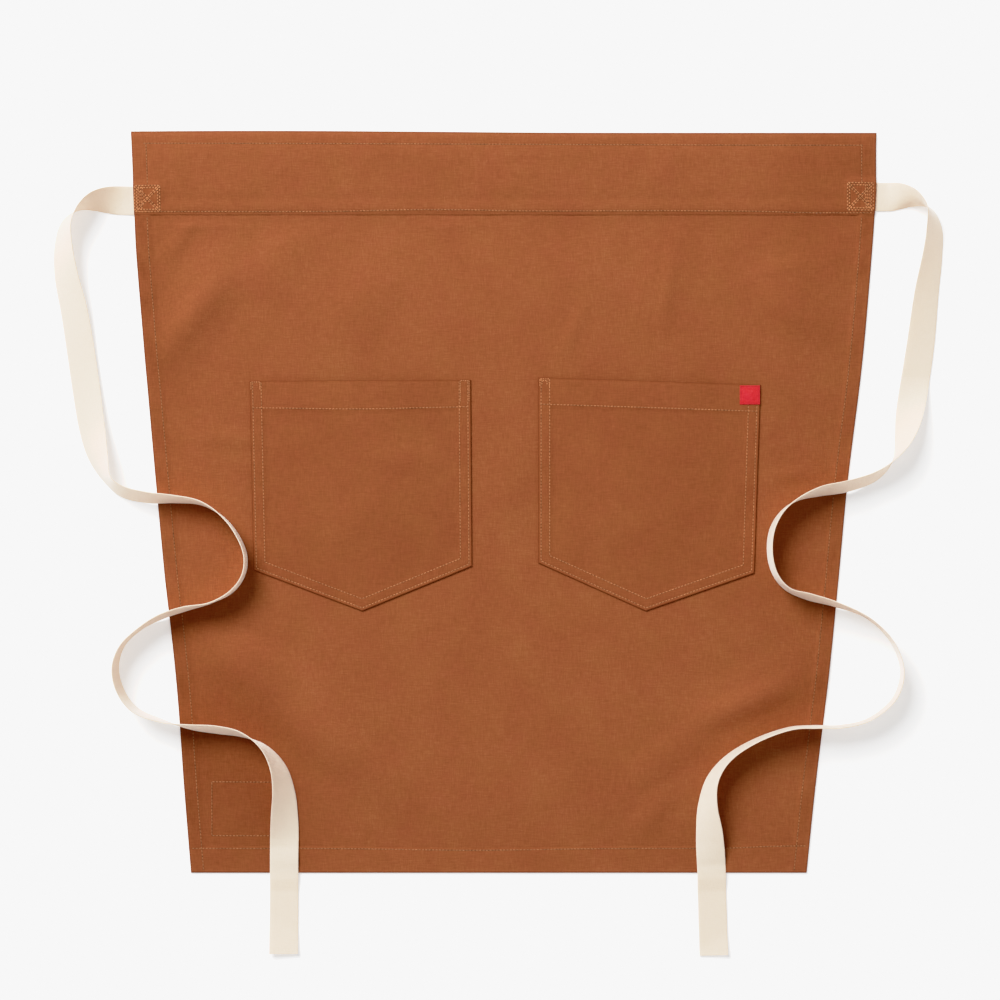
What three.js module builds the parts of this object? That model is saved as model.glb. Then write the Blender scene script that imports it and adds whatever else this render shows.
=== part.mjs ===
import * as THREE from 'three';

// A waist apron laid flat: x runs along the waistband, y up the apron, z up from the surface it lies on.
// The origin is on that surface, on the waistband's centre line and halfway down the apron. Millimetres.

// Panel and waistband
const waistWidth = 762;
const hemWidth = 629;
const hemShift = -5;
const apronLength = 756;
const sideSwell = 7.6;
const topRise = 2;
const clothThickness = 1.2;
const hemThickness = 2.4;
const sideHem = 14.5;
const bottomHem = 27;
const hemSlope = 2;
const waistbandHeight = 84;
const bandThickness = 2.2;
const seamTuck = 8;
const foldRise = 6;
const clearance = 0.3;

// Patch pockets and the small woven tab
const pocketWidth = 227;
const pocketDepth = 236;
const pocketHem = 27;
const pocketRise = 6;
const pocketFlank = 58;
const pocketSeam = 4;
const pocketGap = 67.3;
const pocketShift = 1.4;
const pocketDrop = 168.6;
const tabWidth = 20.6;
const tabHeight = 19.5;
const tabThickness = 1;
const tabInset = 0.8;

// Tape ties
const tapeWidth = 29;
const tapeThickness = 1.2;
const tieLength = 1138;
const tieSewn = 26;
const leftTieSeat = 0.1;
const rightTieSeat = 3.9;
const tieStep = 8;
const climbSlope = 0.16;

// Fineness of the faceted cloth
const panelCell = 22;
const pocketCell = 16;

// Outward swell of the two side edges; down is a share of apronLength, left and right of sideSwell
const sideTable = [
  { down: 0.0, left: 0.0, right: 0.0 },
  { down: 0.08, left: 0.3, right: 0.65 },
  { down: 0.16, left: 0.6, right: 0.9 },
  { down: 0.31, left: 0.57, right: 1.0 },
  { down: 0.47, left: 0.46, right: 0.56 },
  { down: 0.6, left: 0.3, right: 0.56 },
  { down: 0.69, left: 0.0, right: 0.54 },
  { down: 0.77, left: -0.12, right: 0.4 },
  { down: 0.88, left: 0.0, right: 0.1 },
  { down: 1.0, left: 0.0, right: 0.0 },
];

// Soft ridges of the panel; across and down place a ridge's middle as shares of half waistWidth and of
// apronLength, long and wide are its half sizes as shares of apronLength, turn is degrees up from +x,
// rise a share of foldRise
const foldTable = [
  { across: -0.83, down: 0.245, long: 0.13, wide: 0.055, turn: 56, rise: 0.9 },
  { across: -0.6, down: 0.17, long: 0.09, wide: 0.05, turn: 52, rise: 0.45 },
  { across: -0.58, down: 0.765, long: 0.17, wide: 0.065, turn: -36, rise: 0.85 },
  { across: 0.67, down: 0.765, long: 0.14, wide: 0.06, turn: 27, rise: 0.75 },
  { across: 0.77, down: 0.235, long: 0.08, wide: 0.05, turn: -45, rise: 0.4 },
  { across: 0.43, down: 0.19, long: 0.09, wide: 0.05, turn: 80, rise: 0.25 },
];

// Corners of a pocket patch; across is a share of pocketWidth, down of pocketDepth
const pocketLeftCorners = {
  topLeft: { across: 0.0, down: 0.005 },
  topRight: { across: 0.994, down: 0.0 },
  sideRight: { across: 1.0, down: 0.806 },
  point: { across: 0.506, down: 1.0 },
  sideLeft: { across: 0.018, down: 0.823 },
};
const pocketRightCorners = {
  topLeft: { across: 0.0, down: -0.011 },
  topRight: { across: 1.0, down: 0.021 },
  sideRight: { across: 0.972, down: 0.836 },
  point: { across: 0.483, down: 1.0 },
  sideLeft: { across: 0.0, down: 0.792 },
};

// Run of the left tie from the waistband's side. out is a share of half waistWidth, measured away from the
// apron's centre line, down a share of apronLength, measured from the tie's sewn end. roll turns the tape
// about its run, in degrees: 0 and -180 lie flat, -90 and -270 stand on edge.
const leftRun = [
  { out: 1.0, down: 0, roll: 0 },
  { out: 1.036, down: 0.0001, roll: -6 },
  { out: 1.067, down: 0.0009, roll: -34 },
  { out: 1.1, down: 0.0046, roll: -60 },
  { out: 1.139, down: 0.0146, roll: -96 },
  { out: 1.168, down: 0.0336, roll: -121 },
  { out: 1.176, down: 0.0631, roll: -138 },
  { out: 1.17, down: 0.1011, roll: -153 },
  { out: 1.15, down: 0.1501, roll: -167 },
  { out: 1.132, down: 0.2081, roll: -174 },
  { out: 1.117, down: 0.2601, roll: -172 },
  { out: 1.102, down: 0.3071, roll: -163 },
  { out: 1.084, down: 0.3446, roll: -143 },
  { out: 1.056, down: 0.3771, roll: -114 },
  { out: 1.02, down: 0.3926, roll: -115 },
  { out: 0.95, down: 0.4011, roll: -113 },
  { out: 0.88, down: 0.4031, roll: -106 },
  { out: 0.81, down: 0.4081, roll: -99 },
  { out: 0.759, down: 0.4226, roll: -94 },
  { out: 0.715, down: 0.4471, roll: -91 },
  { out: 0.688, down: 0.4791, roll: -90 },
  { out: 0.694, down: 0.5061, roll: -89 },
  { out: 0.726, down: 0.5276, roll: -87 },
  { out: 0.782, down: 0.5426, roll: -88 },
  { out: 0.85, down: 0.5506, roll: -80 },
  { out: 0.915, down: 0.5616, roll: -80 },
  { out: 0.972, down: 0.5781, roll: -86 },
  { out: 1.018, down: 0.6006, roll: -87 },
  { out: 1.036, down: 0.6286, roll: -85 },
  { out: 1.024, down: 0.6596, roll: -84 },
  { out: 0.985, down: 0.6861, roll: -86 },
  { out: 0.915, down: 0.7011, roll: -90 },
  { out: 0.835, down: 0.7096, roll: -105 },
  { out: 0.765, down: 0.7131, roll: -111 },
  { out: 0.7, down: 0.7191, roll: -105 },
  { out: 0.64, down: 0.7361, roll: -86 },
  { out: 0.601, down: 0.7651, roll: -63 },
  { out: 0.587, down: 0.7981, roll: -44 },
  { out: 0.586, down: 0.8321, roll: -24 },
  { out: 0.588, down: 0.8731, roll: 0 },
  { out: 0.5885, down: 0.9181, roll: 0 },
];

// Run of the right tie, in the same terms
const rightRun = [
  { out: 1.0, down: 0, roll: 0 },
  { out: 1.032, down: 0.0002, roll: -6 },
  { out: 1.062, down: 0.001, roll: -32 },
  { out: 1.096, down: 0.0055, roll: -64 },
  { out: 1.135, down: 0.0187, roll: -108 },
  { out: 1.15, down: 0.0432, roll: -132 },
  { out: 1.147, down: 0.0752, roll: -141 },
  { out: 1.132, down: 0.1292, roll: -156 },
  { out: 1.1175, down: 0.1982, roll: -172 },
  { out: 1.101, down: 0.2552, roll: -183 },
  { out: 1.087, down: 0.2902, roll: -206 },
  { out: 1.07, down: 0.3232, roll: -236 },
  { out: 1.042, down: 0.3552, roll: -273 },
  { out: 0.994, down: 0.3772, roll: -290 },
  { out: 0.915, down: 0.3912, roll: -294 },
  { out: 0.845, down: 0.3977, roll: -290 },
  { out: 0.785, down: 0.4082, roll: -277 },
  { out: 0.742, down: 0.4247, roll: -271 },
  { out: 0.714, down: 0.4502, roll: -267 },
  { out: 0.709, down: 0.4842, roll: -266 },
  { out: 0.725, down: 0.5112, roll: -266 },
  { out: 0.757, down: 0.5292, roll: -264 },
  { out: 0.815, down: 0.5397, roll: -256 },
  { out: 0.885, down: 0.5497, roll: -260 },
  { out: 0.975, down: 0.5692, roll: -268 },
  { out: 1.038, down: 0.6017, roll: -270 },
  { out: 1.063, down: 0.6392, roll: -271 },
  { out: 1.044, down: 0.6752, roll: -272 },
  { out: 0.977, down: 0.7042, roll: -272 },
  { out: 0.9, down: 0.7142, roll: -270 },
  { out: 0.83, down: 0.7142, roll: -270 },
  { out: 0.765, down: 0.7162, roll: -271 },
  { out: 0.67, down: 0.7327, roll: -269 },
  { out: 0.595, down: 0.7572, roll: -264 },
  { out: 0.556, down: 0.7852, roll: -252 },
  { out: 0.544, down: 0.8202, roll: -233 },
  { out: 0.55, down: 0.8612, roll: -204 },
  { out: 0.556, down: 0.9032, roll: -180 },
  { out: 0.5585, down: 0.9432, roll: -180 },
];

const halfWaist = waistWidth / 2;
const yTop = apronLength / 2;
const yHem = -apronLength / 2;
const yBand = yTop - waistbandHeight;
const yPocket = yBand - pocketDrop;
const foldFade = waistbandHeight / 3;

const pocketLeft = {
  x: pocketShift - pocketGap / 2 - pocketWidth,
  corners: pocketLeftCorners,
};
const pocketRight = {
  x: pocketShift + pocketGap / 2,
  corners: pocketRightCorners,
};
const tieLeft = { side: -1, run: leftRun, y: yBand + leftTieSeat + tapeWidth / 2 };
const tieRight = { side: 1, run: rightRun, y: yBand + rightTieSeat + tapeWidth / 2 };

// Smooth rise from 0 to 1 as t goes from a to b.
function ramp(t, a, b) {
  return THREE.MathUtils.smoothstep(t, a, b);
}

// Smooth curve through one column of the side table, at a share of the way down.
function readSide(column, down) {
  const curve = new THREE.SplineCurve(sideTable.map((row) => new THREE.Vector2(row.down, row[column])));
  const next = sideTable.findIndex((row) => row.down > down);
  const row = next < 0 ? sideTable.length - 2 : next - 1;
  const span = sideTable[row + 1].down - sideTable[row].down;
  return curve.getPoint((row + (down - sideTable[row].down) / span) / (sideTable.length - 1)).y;
}

// Left or right side edge of the apron at height y.
function sideX(y, side) {
  const down = THREE.MathUtils.clamp((yTop - y) / apronLength, 0, 1);
  const straight = side * (halfWaist + (hemWidth / 2 - halfWaist) * down) + hemShift * down;
  return straight + side * sideSwell * readSide(side < 0 ? 'left' : 'right', down);
}

// How far a point of the apron lies in from its nearer side edge.
function sideInset(x, y) {
  return Math.min(x - sideX(y, -1), sideX(y, 1) - x);
}

// How far a point lies outside the nearer pocket's patch.
function pocketReach(x, y) {
  const reaches = [pocketLeft, pocketRight].map((pocket) => {
    const dx = Math.max(pocket.x - x, x - pocket.x - pocketWidth, 0);
    const dy = Math.max(y - yPocket, yPocket - pocketDepth - y, 0);
    return Math.hypot(dx, dy);
  });
  return Math.min(...reaches);
}

// Height of the soft ridges of the laid cloth. They fade out before the pockets and the waistband.
function foldHeight(x, y) {
  let height = 0;
  for (const fold of foldTable) {
    const angle = THREE.MathUtils.degToRad(fold.turn);
    const dx = x - fold.across * halfWaist;
    const dy = y - (yTop - fold.down * apronLength);
    const along = (dx * Math.cos(angle) + dy * Math.sin(angle)) / (fold.long * apronLength);
    const over = (dy * Math.cos(angle) - dx * Math.sin(angle)) / (fold.wide * apronLength);
    if (Math.abs(along) < 1 && Math.abs(over) < 1) {
      height += foldRise * fold.rise * (1 - along ** 2) ** 2 * (1 - over ** 2) ** 2;
    }
  }
  return height * ramp(yBand - y, 0, foldFade) * ramp(pocketReach(x, y), panelCell, panelCell + foldFade);
}

// Thickness of the panel: double in the side and bottom hems.
function panelThickness(x, y) {
  const inSide = 1 - ramp(sideInset(x, y), sideHem, sideHem + hemSlope);
  const inBottom = 1 - ramp(y - yHem, bottomHem, bottomHem + hemSlope);
  return clothThickness + (hemThickness - clothThickness) * Math.max(inSide, inBottom);
}

function panelTop(x, y) {
  return foldHeight(x, y) + panelThickness(x, y);
}

// Evenly spaced values from a to b, about one for every step, both ends included.
function spread(a, b, step) {
  const count = Math.max(1, Math.round(Math.abs(b - a) / step));
  return Array.from({ length: count + 1 }, (_, k) => a + (b - a) * k / count);
}

// Geometry with only the points that its faces use.
function closedGeometry(points, faces) {
  const used = new Map();
  const packed = [];
  const indices = faces.map((old) => {
    if (!used.has(old)) {
      used.set(old, used.size);
      packed.push(...points[old]);
    }
    return used.get(old);
  });
  const geometry = new THREE.BufferGeometry();
  geometry.setAttribute('position', new THREE.Float32BufferAttribute(packed, 3));
  geometry.setIndex(indices);
  geometry.computeVertexNormals();
  return geometry;
}

// One closed sheet from a grid: place(i, j) gives x and y, lower and upper the heights of its two faces
// there, and keep(i, j) says which cells are cloth. Its upper facets come with it, to seat other pieces on.
function sheet(columns, rows, place, lower, upper, keep = () => true) {
  const points = [];
  const faces = [];
  const facets = [];
  const index = (i, j, layer) => (j * columns + i) * 2 + layer;
  for (let j = 0; j < rows; j += 1) {
    for (let i = 0; i < columns; i += 1) {
      const [x, y] = place(i, j);
      points.push([x, y, lower(x, y, i, j)], [x, y, upper(x, y, i, j)]);
    }
  }
  const kept = (i, j) => i >= 0 && j >= 0 && i < columns - 1 && j < rows - 1 && keep(i, j);
  const wall = (i0, j0, i1, j1) => {
    faces.push(index(i0, j0, 0), index(i1, j1, 0), index(i1, j1, 1));
    faces.push(index(i0, j0, 0), index(i1, j1, 1), index(i0, j0, 1));
  };
  for (let j = 0; j < rows - 1; j += 1) {
    for (let i = 0; i < columns - 1; i += 1) {
      if (!kept(i, j)) {
        continue;
      }
      const ring = [[i, j], [i + 1, j], [i + 1, j + 1], [i, j + 1]];
      for (const [a, b, c] of [[0, 1, 2], [0, 2, 3]]) {
        const top = [a, b, c].map((k) => index(...ring[k], 1));
        faces.push(...top);
        faces.push(index(...ring[a], 0), index(...ring[c], 0), index(...ring[b], 0));
        facets.push(top.map((k) => points[k]));
      }
      const besides = [[i, j - 1], [i + 1, j], [i, j + 1], [i - 1, j]];
      besides.forEach((beside, k) => {
        if (!kept(...beside)) {
          wall(...ring[k], ...ring[(k + 1) % 4]);
        }
      });
    }
  }
  return { geometry: closedGeometry(points, faces), facets };
}

// Height of the facets over a point, or nothing where there are none.
function heightOn(facets, x, y) {
  let height = -Infinity;
  for (const [a, b, c] of facets) {
    const area = (b[0] - a[0]) * (c[1] - a[1]) - (c[0] - a[0]) * (b[1] - a[1]);
    const shareB = ((x - a[0]) * (c[1] - a[1]) - (c[0] - a[0]) * (y - a[1])) / area;
    const shareC = ((b[0] - a[0]) * (y - a[1]) - (x - a[0]) * (b[1] - a[1])) / area;
    if (shareB >= 0 && shareC >= 0 && shareB + shareC <= 1) {
      height = Math.max(height, a[2] + shareB * (b[2] - a[2]) + shareC * (c[2] - a[2]));
    }
  }
  return height;
}

// Columns across the apron: fixed insets beside both side edges, evenly spread between them.
function acrossApron(insets, step) {
  const inner = insets.at(-1);
  const middle = spread(0, 1, step / (waistWidth - 2 * inner)).slice(1, -1);
  const count = 2 * insets.length + middle.length;
  const columnX = (i, y) => {
    const [left, right] = [sideX(y, -1), sideX(y, 1)];
    if (i < insets.length) {
      return left + insets[i];
    }
    if (i >= count - insets.length) {
      return right - insets[count - 1 - i];
    }
    return left + inner + (right - left - 2 * inner) * middle[i - insets.length];
  };
  return { count, columnX };
}

// Skirt panel. Its top edge is tucked into the waistband and trimmed back beside the ties' sewn ends.
function makePanel() {
  const insets = [0, sideHem, sideHem + hemSlope, tieSewn + 2 * seamTuck];
  const { count, columnX } = acrossApron(insets, panelCell);
  const hemTop = yHem + bottomHem + hemSlope;
  const rows = [yHem, yHem + bottomHem, ...spread(hemTop, yBand - clearance, panelCell), yBand + seamTuck];
  const tuckRow = rows.length - 2;
  const trimmed = insets.length - 1;
  const place = (i, j) => [columnX(i, rows[j]), rows[j]];
  const keep = (i, j) => j < tuckRow || (i >= trimmed && i < count - 1 - trimmed);
  return sheet(count, rows.length, place, foldHeight, panelTop, keep);
}

// Lift of the waistband's underside over the panel's tuck and over the ties' sewn ends.
const bandSlope = 4 * hemSlope;
const tuckEnd = yBand + seamTuck + clearance;
const tieEnd = Math.max(tieLeft.y, tieRight.y) + tapeWidth / 2 + clearance;

function bandLift(x, y) {
  const overTuck = 1 - ramp(y, tuckEnd, tuckEnd + bandSlope);
  const besideSide = 1 - ramp(sideInset(x, y), tieSewn + clearance, tieSewn + clearance + bandSlope);
  const overTie = besideSide * (1 - ramp(y, tieEnd, tieEnd + bandSlope));
  return Math.max((clothThickness + clearance) * overTuck, (tapeThickness + clearance) * overTie);
}

// Waistband, folded double, with a slightly bowed upper edge.
function makeBand() {
  const inner = tieSewn + clearance;
  const insets = [0, inner, inner + bandSlope / 2, inner + bandSlope];
  const { count, columnX } = acrossApron(insets, 2 * panelCell);
  const middleRows = spread(tuckEnd + bandSlope / 2, tieEnd, bandSlope);
  const upperRows = spread(tieEnd + bandSlope, yTop, panelCell);
  const rows = [yBand, tuckEnd, ...middleRows, tieEnd + bandSlope / 2, ...upperRows];
  const place = (i, j) => {
    const x = columnX(i, rows[j]);
    const bow = topRise * Math.max(0, Math.cos(Math.PI * (x / waistWidth + 1 / 3))) ** 2;
    return [x, rows[j] + bow * (rows[j] - yBand) / waistbandHeight];
  };
  return sheet(count, rows.length, place, bandLift, (x, y) => bandLift(x, y) + bandThickness);
}

// Point of a pocket patch: u runs from its left side to its right, v from the mouth to the bottom.
function pocketPoint(pocket, u, v) {
  const { topLeft, topRight, sideRight, point, sideLeft } = pocket.corners;
  const mix = (a, b, t) => ({
    across: THREE.MathUtils.lerp(a.across, b.across, t),
    down: THREE.MathUtils.lerp(a.down, b.down, t),
  });
  const low = u < 0.5 ? mix(sideLeft, point, 2 * u) : mix(point, sideRight, 2 * u - 1);
  const at = mix(mix(topLeft, topRight, u), low, v);
  return [pocket.x + at.across * pocketWidth, yPocket - at.down * pocketDepth];
}

// Clear height inside a pocket: sewn down along its sides and bottom, open at the mouth.
function pocketHollow(u, v) {
  const fromSide = Math.min(u, 1 - u) * pocketWidth;
  const fromBottom = (1 - v) * pocketDepth;
  return pocketRise * ramp(fromSide, pocketSeam, pocketFlank) * ramp(fromBottom, pocketSeam, pocketFlank);
}

function pocketThickness(v) {
  const inHem = 1 - ramp(v * pocketDepth, pocketHem, pocketHem + hemSlope);
  return clothThickness + (hemThickness - clothThickness) * inHem;
}

function makePocket(pocket) {
  const half = spread(0, 0.5, pocketCell / pocketWidth);
  const across = [...half, ...half.slice(0, -1).reverse().map((u) => 1 - u)];
  const step = pocketCell / pocketDepth;
  const hem = pocketHem / pocketDepth;
  const down = [...spread(0, hem, step), ...spread(hem + hemSlope / pocketDepth, 1, step)];
  down.reverse();
  const place = (i, j) => pocketPoint(pocket, across[i], down[j]);
  const lower = (x, y, i, j) => panelTop(x, y) + clearance + pocketHollow(across[i], down[j]);
  const upper = (x, y, i, j) => lower(x, y, i, j) + pocketThickness(down[j]);
  return sheet(across.length, down.length, place, lower, upper);
}

// Woven tab on the top corner of a pocket, just inside its edges.
function makeTab(pocket, pocketFacets) {
  const corner = pocket.corners.topRight;
  const right = pocket.x + corner.across * pocketWidth - tabInset;
  const top = yPocket - corner.down * pocketDepth - tabInset;
  const steps = 4;
  const place = (i, j) => [right - tabWidth * (1 - i / steps), top - tabHeight * (1 - j / steps)];
  const lower = (x, y) => heightOn(pocketFacets, x, y) + clearance;
  return sheet(steps + 1, steps + 1, place, lower, (x, y) => lower(x, y) + tabThickness);
}

// Sections of a tie along its run: its centre there, and the directions across and through the tape.
function tieSections(tie) {
  const { side, run, y } = tie;
  const place = (row) => new THREE.Vector3(side * row.out * halfWaist, y - row.down * apronLength, 0);
  const points = run.map(place);
  points.unshift(new THREE.Vector3(sideX(y, side) - side * tieSewn, y, 0));
  const rolls = [0, ...run.map((row) => row.roll)];
  const turning = new THREE.SplineCurve(rolls.map((roll, k) => new THREE.Vector2(k, roll)));
  const route = new THREE.CatmullRomCurve3(points, false, 'centripetal');
  route.arcLengthDivisions = 20 * points.length;
  const routeLength = route.getLength();
  const tail = route.getTangent(1);
  const finer = 4;
  return spread(0, tieLength, tieStep / finer).map((along, k) => {
    const t = route.getUtoTmapping(Math.min(1, along / routeLength));
    const centre = route.getPoint(t).addScaledVector(tail, Math.max(0, along - routeLength));
    const forward = route.getTangent(t);
    const roll = -side * THREE.MathUtils.degToRad(turning.getPoint(t).y);
    const across = new THREE.Vector3(-forward.y * Math.cos(roll), forward.x * Math.cos(roll), Math.sin(roll));
    const through = new THREE.Vector3().crossVectors(forward, across);
    return { along, centre, across, through, drawn: k % finer === 0 };
  });
}

// Point of a tie's section, at shares of half its width and half its thickness from the centre.
function sectionPoint(section, sideways, thick) {
  return section.centre.clone()
    .addScaledVector(section.across, sideways * tapeWidth / 2)
    .addScaledVector(section.through, thick * tapeThickness / 2);
}

// Seat every section's lowest edge on what lies under it. The edge climbs and sinks gently along the run.
function seatSections(sections, panelFacets) {
  const support = (x, y) => Math.max(0, heightOn(panelFacets, x, y) + clearance);
  const shares = spread(-1, 1, 0.5).flatMap((sideways) => [[sideways, -1], [sideways, 1]]);
  const lowest = (section) => Math.min(...shares.map((share) => sectionPoint(section, ...share).z));
  const needs = sections.map((section) => Math.max(...shares.map((share) => {
    const at = sectionPoint(section, ...share);
    return support(at.x, at.y) - at.z + lowest(section);
  })));
  const seats = sections.map((section) => Math.max(...sections.map((other, k) => {
    const away = Math.max(0, Math.abs(section.along - other.along) - tieStep);
    return needs[k] - climbSlope * away;
  })));
  sections.forEach((section, k) => {
    section.centre.z = seats[k] - lowest(section);
  });
}

function makeTie(tie, panelFacets) {
  const sections = tieSections(tie);
  seatSections(sections, panelFacets);
  const drawn = sections.filter((section) => section.drawn);
  const ring = [[-1, -1], [1, -1], [1, 1], [-1, 1]];
  const points = drawn.flatMap((section) => ring.map((at) => sectionPoint(section, ...at).toArray()));
  const last = points.length - 4;
  const faces = [0, 2, 1, 0, 3, 2, last, last + 1, last + 2, last, last + 2, last + 3];
  for (let start = 0; start < last; start += 4) {
    ring.forEach((_, c) => {
      const [a, b] = [start + c, start + (c + 1) % 4];
      faces.push(a, b, b + 4, a, b + 4, a + 4);
    });
  }
  return { geometry: closedGeometry(points, faces) };
}

function cloth(color, roughness) {
  return new THREE.MeshStandardMaterial({ color, roughness, metalness: 0 });
}

const apron = new THREE.Group();
apron.name = 'bistro_apron';

function add(name, piece, material) {
  const mesh = new THREE.Mesh(piece.geometry, material);
  mesh.name = name;
  apron.add(mesh);
}

const canvas = cloth('#9c5630', 0.9);
const tape = cloth('#ebe0cf', 0.85);
const tabWeave = cloth('#d9323c', 0.7);

const panel = makePanel();
const rightPatch = makePocket(pocketRight);
add('apron_panel', panel, canvas);
add('waistband', makeBand(), canvas);
add('pocket_left', makePocket(pocketLeft), canvas);
add('pocket_right', rightPatch, canvas);
add('pocket_tab', makeTab(pocketRight, rightPatch.facets), tabWeave);
add('tie_left', makeTie(tieLeft, panel.facets), tape);
add('tie_right', makeTie(tieRight, panel.facets), tape);

export default apron;
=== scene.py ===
"""Bistro apron laid flat: canvas panel and waistband, two patch pockets, a red tab, two cotton tape ties.

Sizes are kept in millimetres, in the apron's own frame: x along the waistband, y up the apron, z away
from the surface that it lies on. They become metres where a mesh is made.
"""

import logging
import math
from dataclasses import dataclass, field
from enum import Enum
from typing import Callable, NamedTuple, Sequence

import bpy
import numpy as np
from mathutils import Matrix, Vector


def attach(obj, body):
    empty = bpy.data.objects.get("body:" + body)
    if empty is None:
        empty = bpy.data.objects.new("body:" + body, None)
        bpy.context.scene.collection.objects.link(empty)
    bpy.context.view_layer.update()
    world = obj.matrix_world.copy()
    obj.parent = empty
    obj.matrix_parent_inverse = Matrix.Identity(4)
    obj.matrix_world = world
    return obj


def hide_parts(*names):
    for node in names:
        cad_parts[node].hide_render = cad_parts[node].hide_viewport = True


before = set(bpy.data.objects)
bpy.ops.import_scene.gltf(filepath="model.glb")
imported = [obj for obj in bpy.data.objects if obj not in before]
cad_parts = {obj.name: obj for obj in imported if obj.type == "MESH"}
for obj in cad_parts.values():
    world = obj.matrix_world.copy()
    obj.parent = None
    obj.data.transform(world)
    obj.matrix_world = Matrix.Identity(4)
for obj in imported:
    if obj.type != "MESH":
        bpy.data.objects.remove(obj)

MM = 0.001
ROOT = "root"
Array = np.ndarray
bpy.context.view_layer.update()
logging.basicConfig(level=logging.INFO, format="%(name)s: %(message)s")
log = logging.getLogger("apron")


class Side(Enum):
    """Side of the apron, as its sign along x."""

    LEFT = -1
    RIGHT = 1


class Held(Enum):
    """How a piece of cloth is held."""

    LAID = "laid"
    STRETCHED = "stretched"


class Ridge(NamedTuple):
    """Soft fold of the laid cloth: middle, half length, half width and height in mm, turn in degrees up from +x."""

    x: float
    y: float
    long: float
    wide: float
    turn: float
    rise: float


class TapeStop(NamedTuple):
    """Stop on a tie's run.

    out is a share of half the waist, away from the centre line, down a share of the apron's length from
    the tie's sewn end, roll the tape's turn about its run in degrees: 0 and -180 lie flat, -90 is on edge.
    """

    out: float
    down: float
    roll: float


# Main folds, as in the imported solids, then finer creases that only show here
FOLDS = (
    Ridge(-316.2, 192.8, 98.3, 41.6, 56, 5.4),
    Ridge(-228.6, 249.5, 68.0, 37.8, 52, 2.7),
    Ridge(-221.0, -200.3, 128.5, 49.1, -36, 5.1),
    Ridge(255.3, -200.3, 105.8, 45.4, 27, 4.5),
    Ridge(293.4, 200.3, 60.5, 37.8, -45, 2.4),
    Ridge(163.8, 234.4, 68.0, 37.8, 80, 1.5),
)
CREASES = (
    Ridge(-320, 187, 85, 20, 52, 2.5),
    Ridge(-328, 275, 45, 14, 58, 1.8),
    Ridge(-145, 205, 70, 40, 55, 2.0),
    Ridge(285, 195, 40, 16, -48, 1.6),
    Ridge(72, 178, 45, 12, 65, 1.2),
    Ridge(168, 225, 75, 12, 82, 1.2),
    Ridge(-165, -255, 90, 32, -38, 4.5),
    Ridge(-270, -160, 70, 35, -25, 3.5),
    Ridge(245, -205, 75, 20, 22, 3.5),
    Ridge(160, -262, 60, 25, 35, 1.8),
    Ridge(150, -318, 45, 20, 55, 1.6),
    Ridge(290, 27, 35, 12, 8, 1.5),
    Ridge(-280, 66, 50, 14, -8, 1.3),
    Ridge(-105, 45, 45, 20, -20, 1.4),
    Ridge(-150, -20, 50, 28, 50, 1.4),
    Ridge(238, 10, 45, 18, 80, 1.3),
    Ridge(0, 10, 55, 30, 90, 1.5),
    Ridge(285, 240, 45, 14, 5, 1.2),
    Ridge(-310, 284, 60, 9, 0, 1.2),
    Ridge(-45, 286, 60, 9, 0, 1.2),
)
BAND_CREASES = (
    Ridge(-330, 345, 35, 22, -60, 0.8),
    Ridge(-250, 335, 50, 22, 30, 0.7),
    Ridge(-75, 345, 45, 24, -30, 0.9),
    Ridge(20, 330, 60, 22, 5, 0.7),
    Ridge(165, 345, 50, 20, 75, 0.8),
    Ridge(290, 340, 50, 20, -60, 0.7),
)
# Wide patches of painted shade, where the cloth shows darker: here rise is a share of colour
PAINTED_SHADE_PATCHES = (
    Ridge(-290, -270, 200, 130, -60, -0.24),
    Ridge(-370, 190, 200, 90, 85, -0.12),
    Ridge(330, 330, 190, 100, 70, -0.10),
)


# Colour and shader nodes


def linear(colour: str) -> tuple[float, float, float, float]:
    """Turns an sRGB hex colour to linear values.

    Args:
        colour: sRGB colour as "#rrggbb".

    Returns:
        Linear red, green and blue, and an alpha of one.
    """
    parts = [int(colour[k : k + 2], 16) / 255 for k in (1, 3, 5)]
    red, green, blue = [c / 12.92 if c <= 0.04045 else ((c + 0.055) / 1.055) ** 2.4 for c in parts]
    return red, green, blue, 1.0


def add_node(tree: bpy.types.NodeTree, kind: str, settings: dict | None = None, **links: object) -> bpy.types.Node:
    """Adds a shader node with its settings and links.

    Args:
        tree: node tree that gets the node.
        kind: node type without its "ShaderNode" beginning.
        settings: values by property name, or by input name or number.
        links: output sockets by input name, with "_" for a space, or "in3" for input number 3.

    Returns:
        The new node.
    """
    node = tree.nodes.new("ShaderNode" + kind)
    for name, value in (settings or {}).items():
        if isinstance(name, int) or name in node.inputs:
            node.inputs[name].default_value = value
        else:
            setattr(node, name, value)
    for name, socket in links.items():
        known = int(name[2:]) if name[:2] == "in" and name[2:].isdigit() else name.replace("_", " ")
        tree.links.new(socket, node.inputs[known])
    return node


def new_material(name: str) -> tuple[bpy.types.Material, bpy.types.NodeTree, bpy.types.Node]:
    """Makes an empty node material.

    Args:
        name: name of the material.

    Returns:
        The material, its node tree and its output node.
    """
    material = bpy.data.materials.new(name)
    material.use_nodes = True
    tree = material.node_tree
    tree.nodes.clear()
    return material, tree, add_node(tree, "OutputMaterial")


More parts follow.
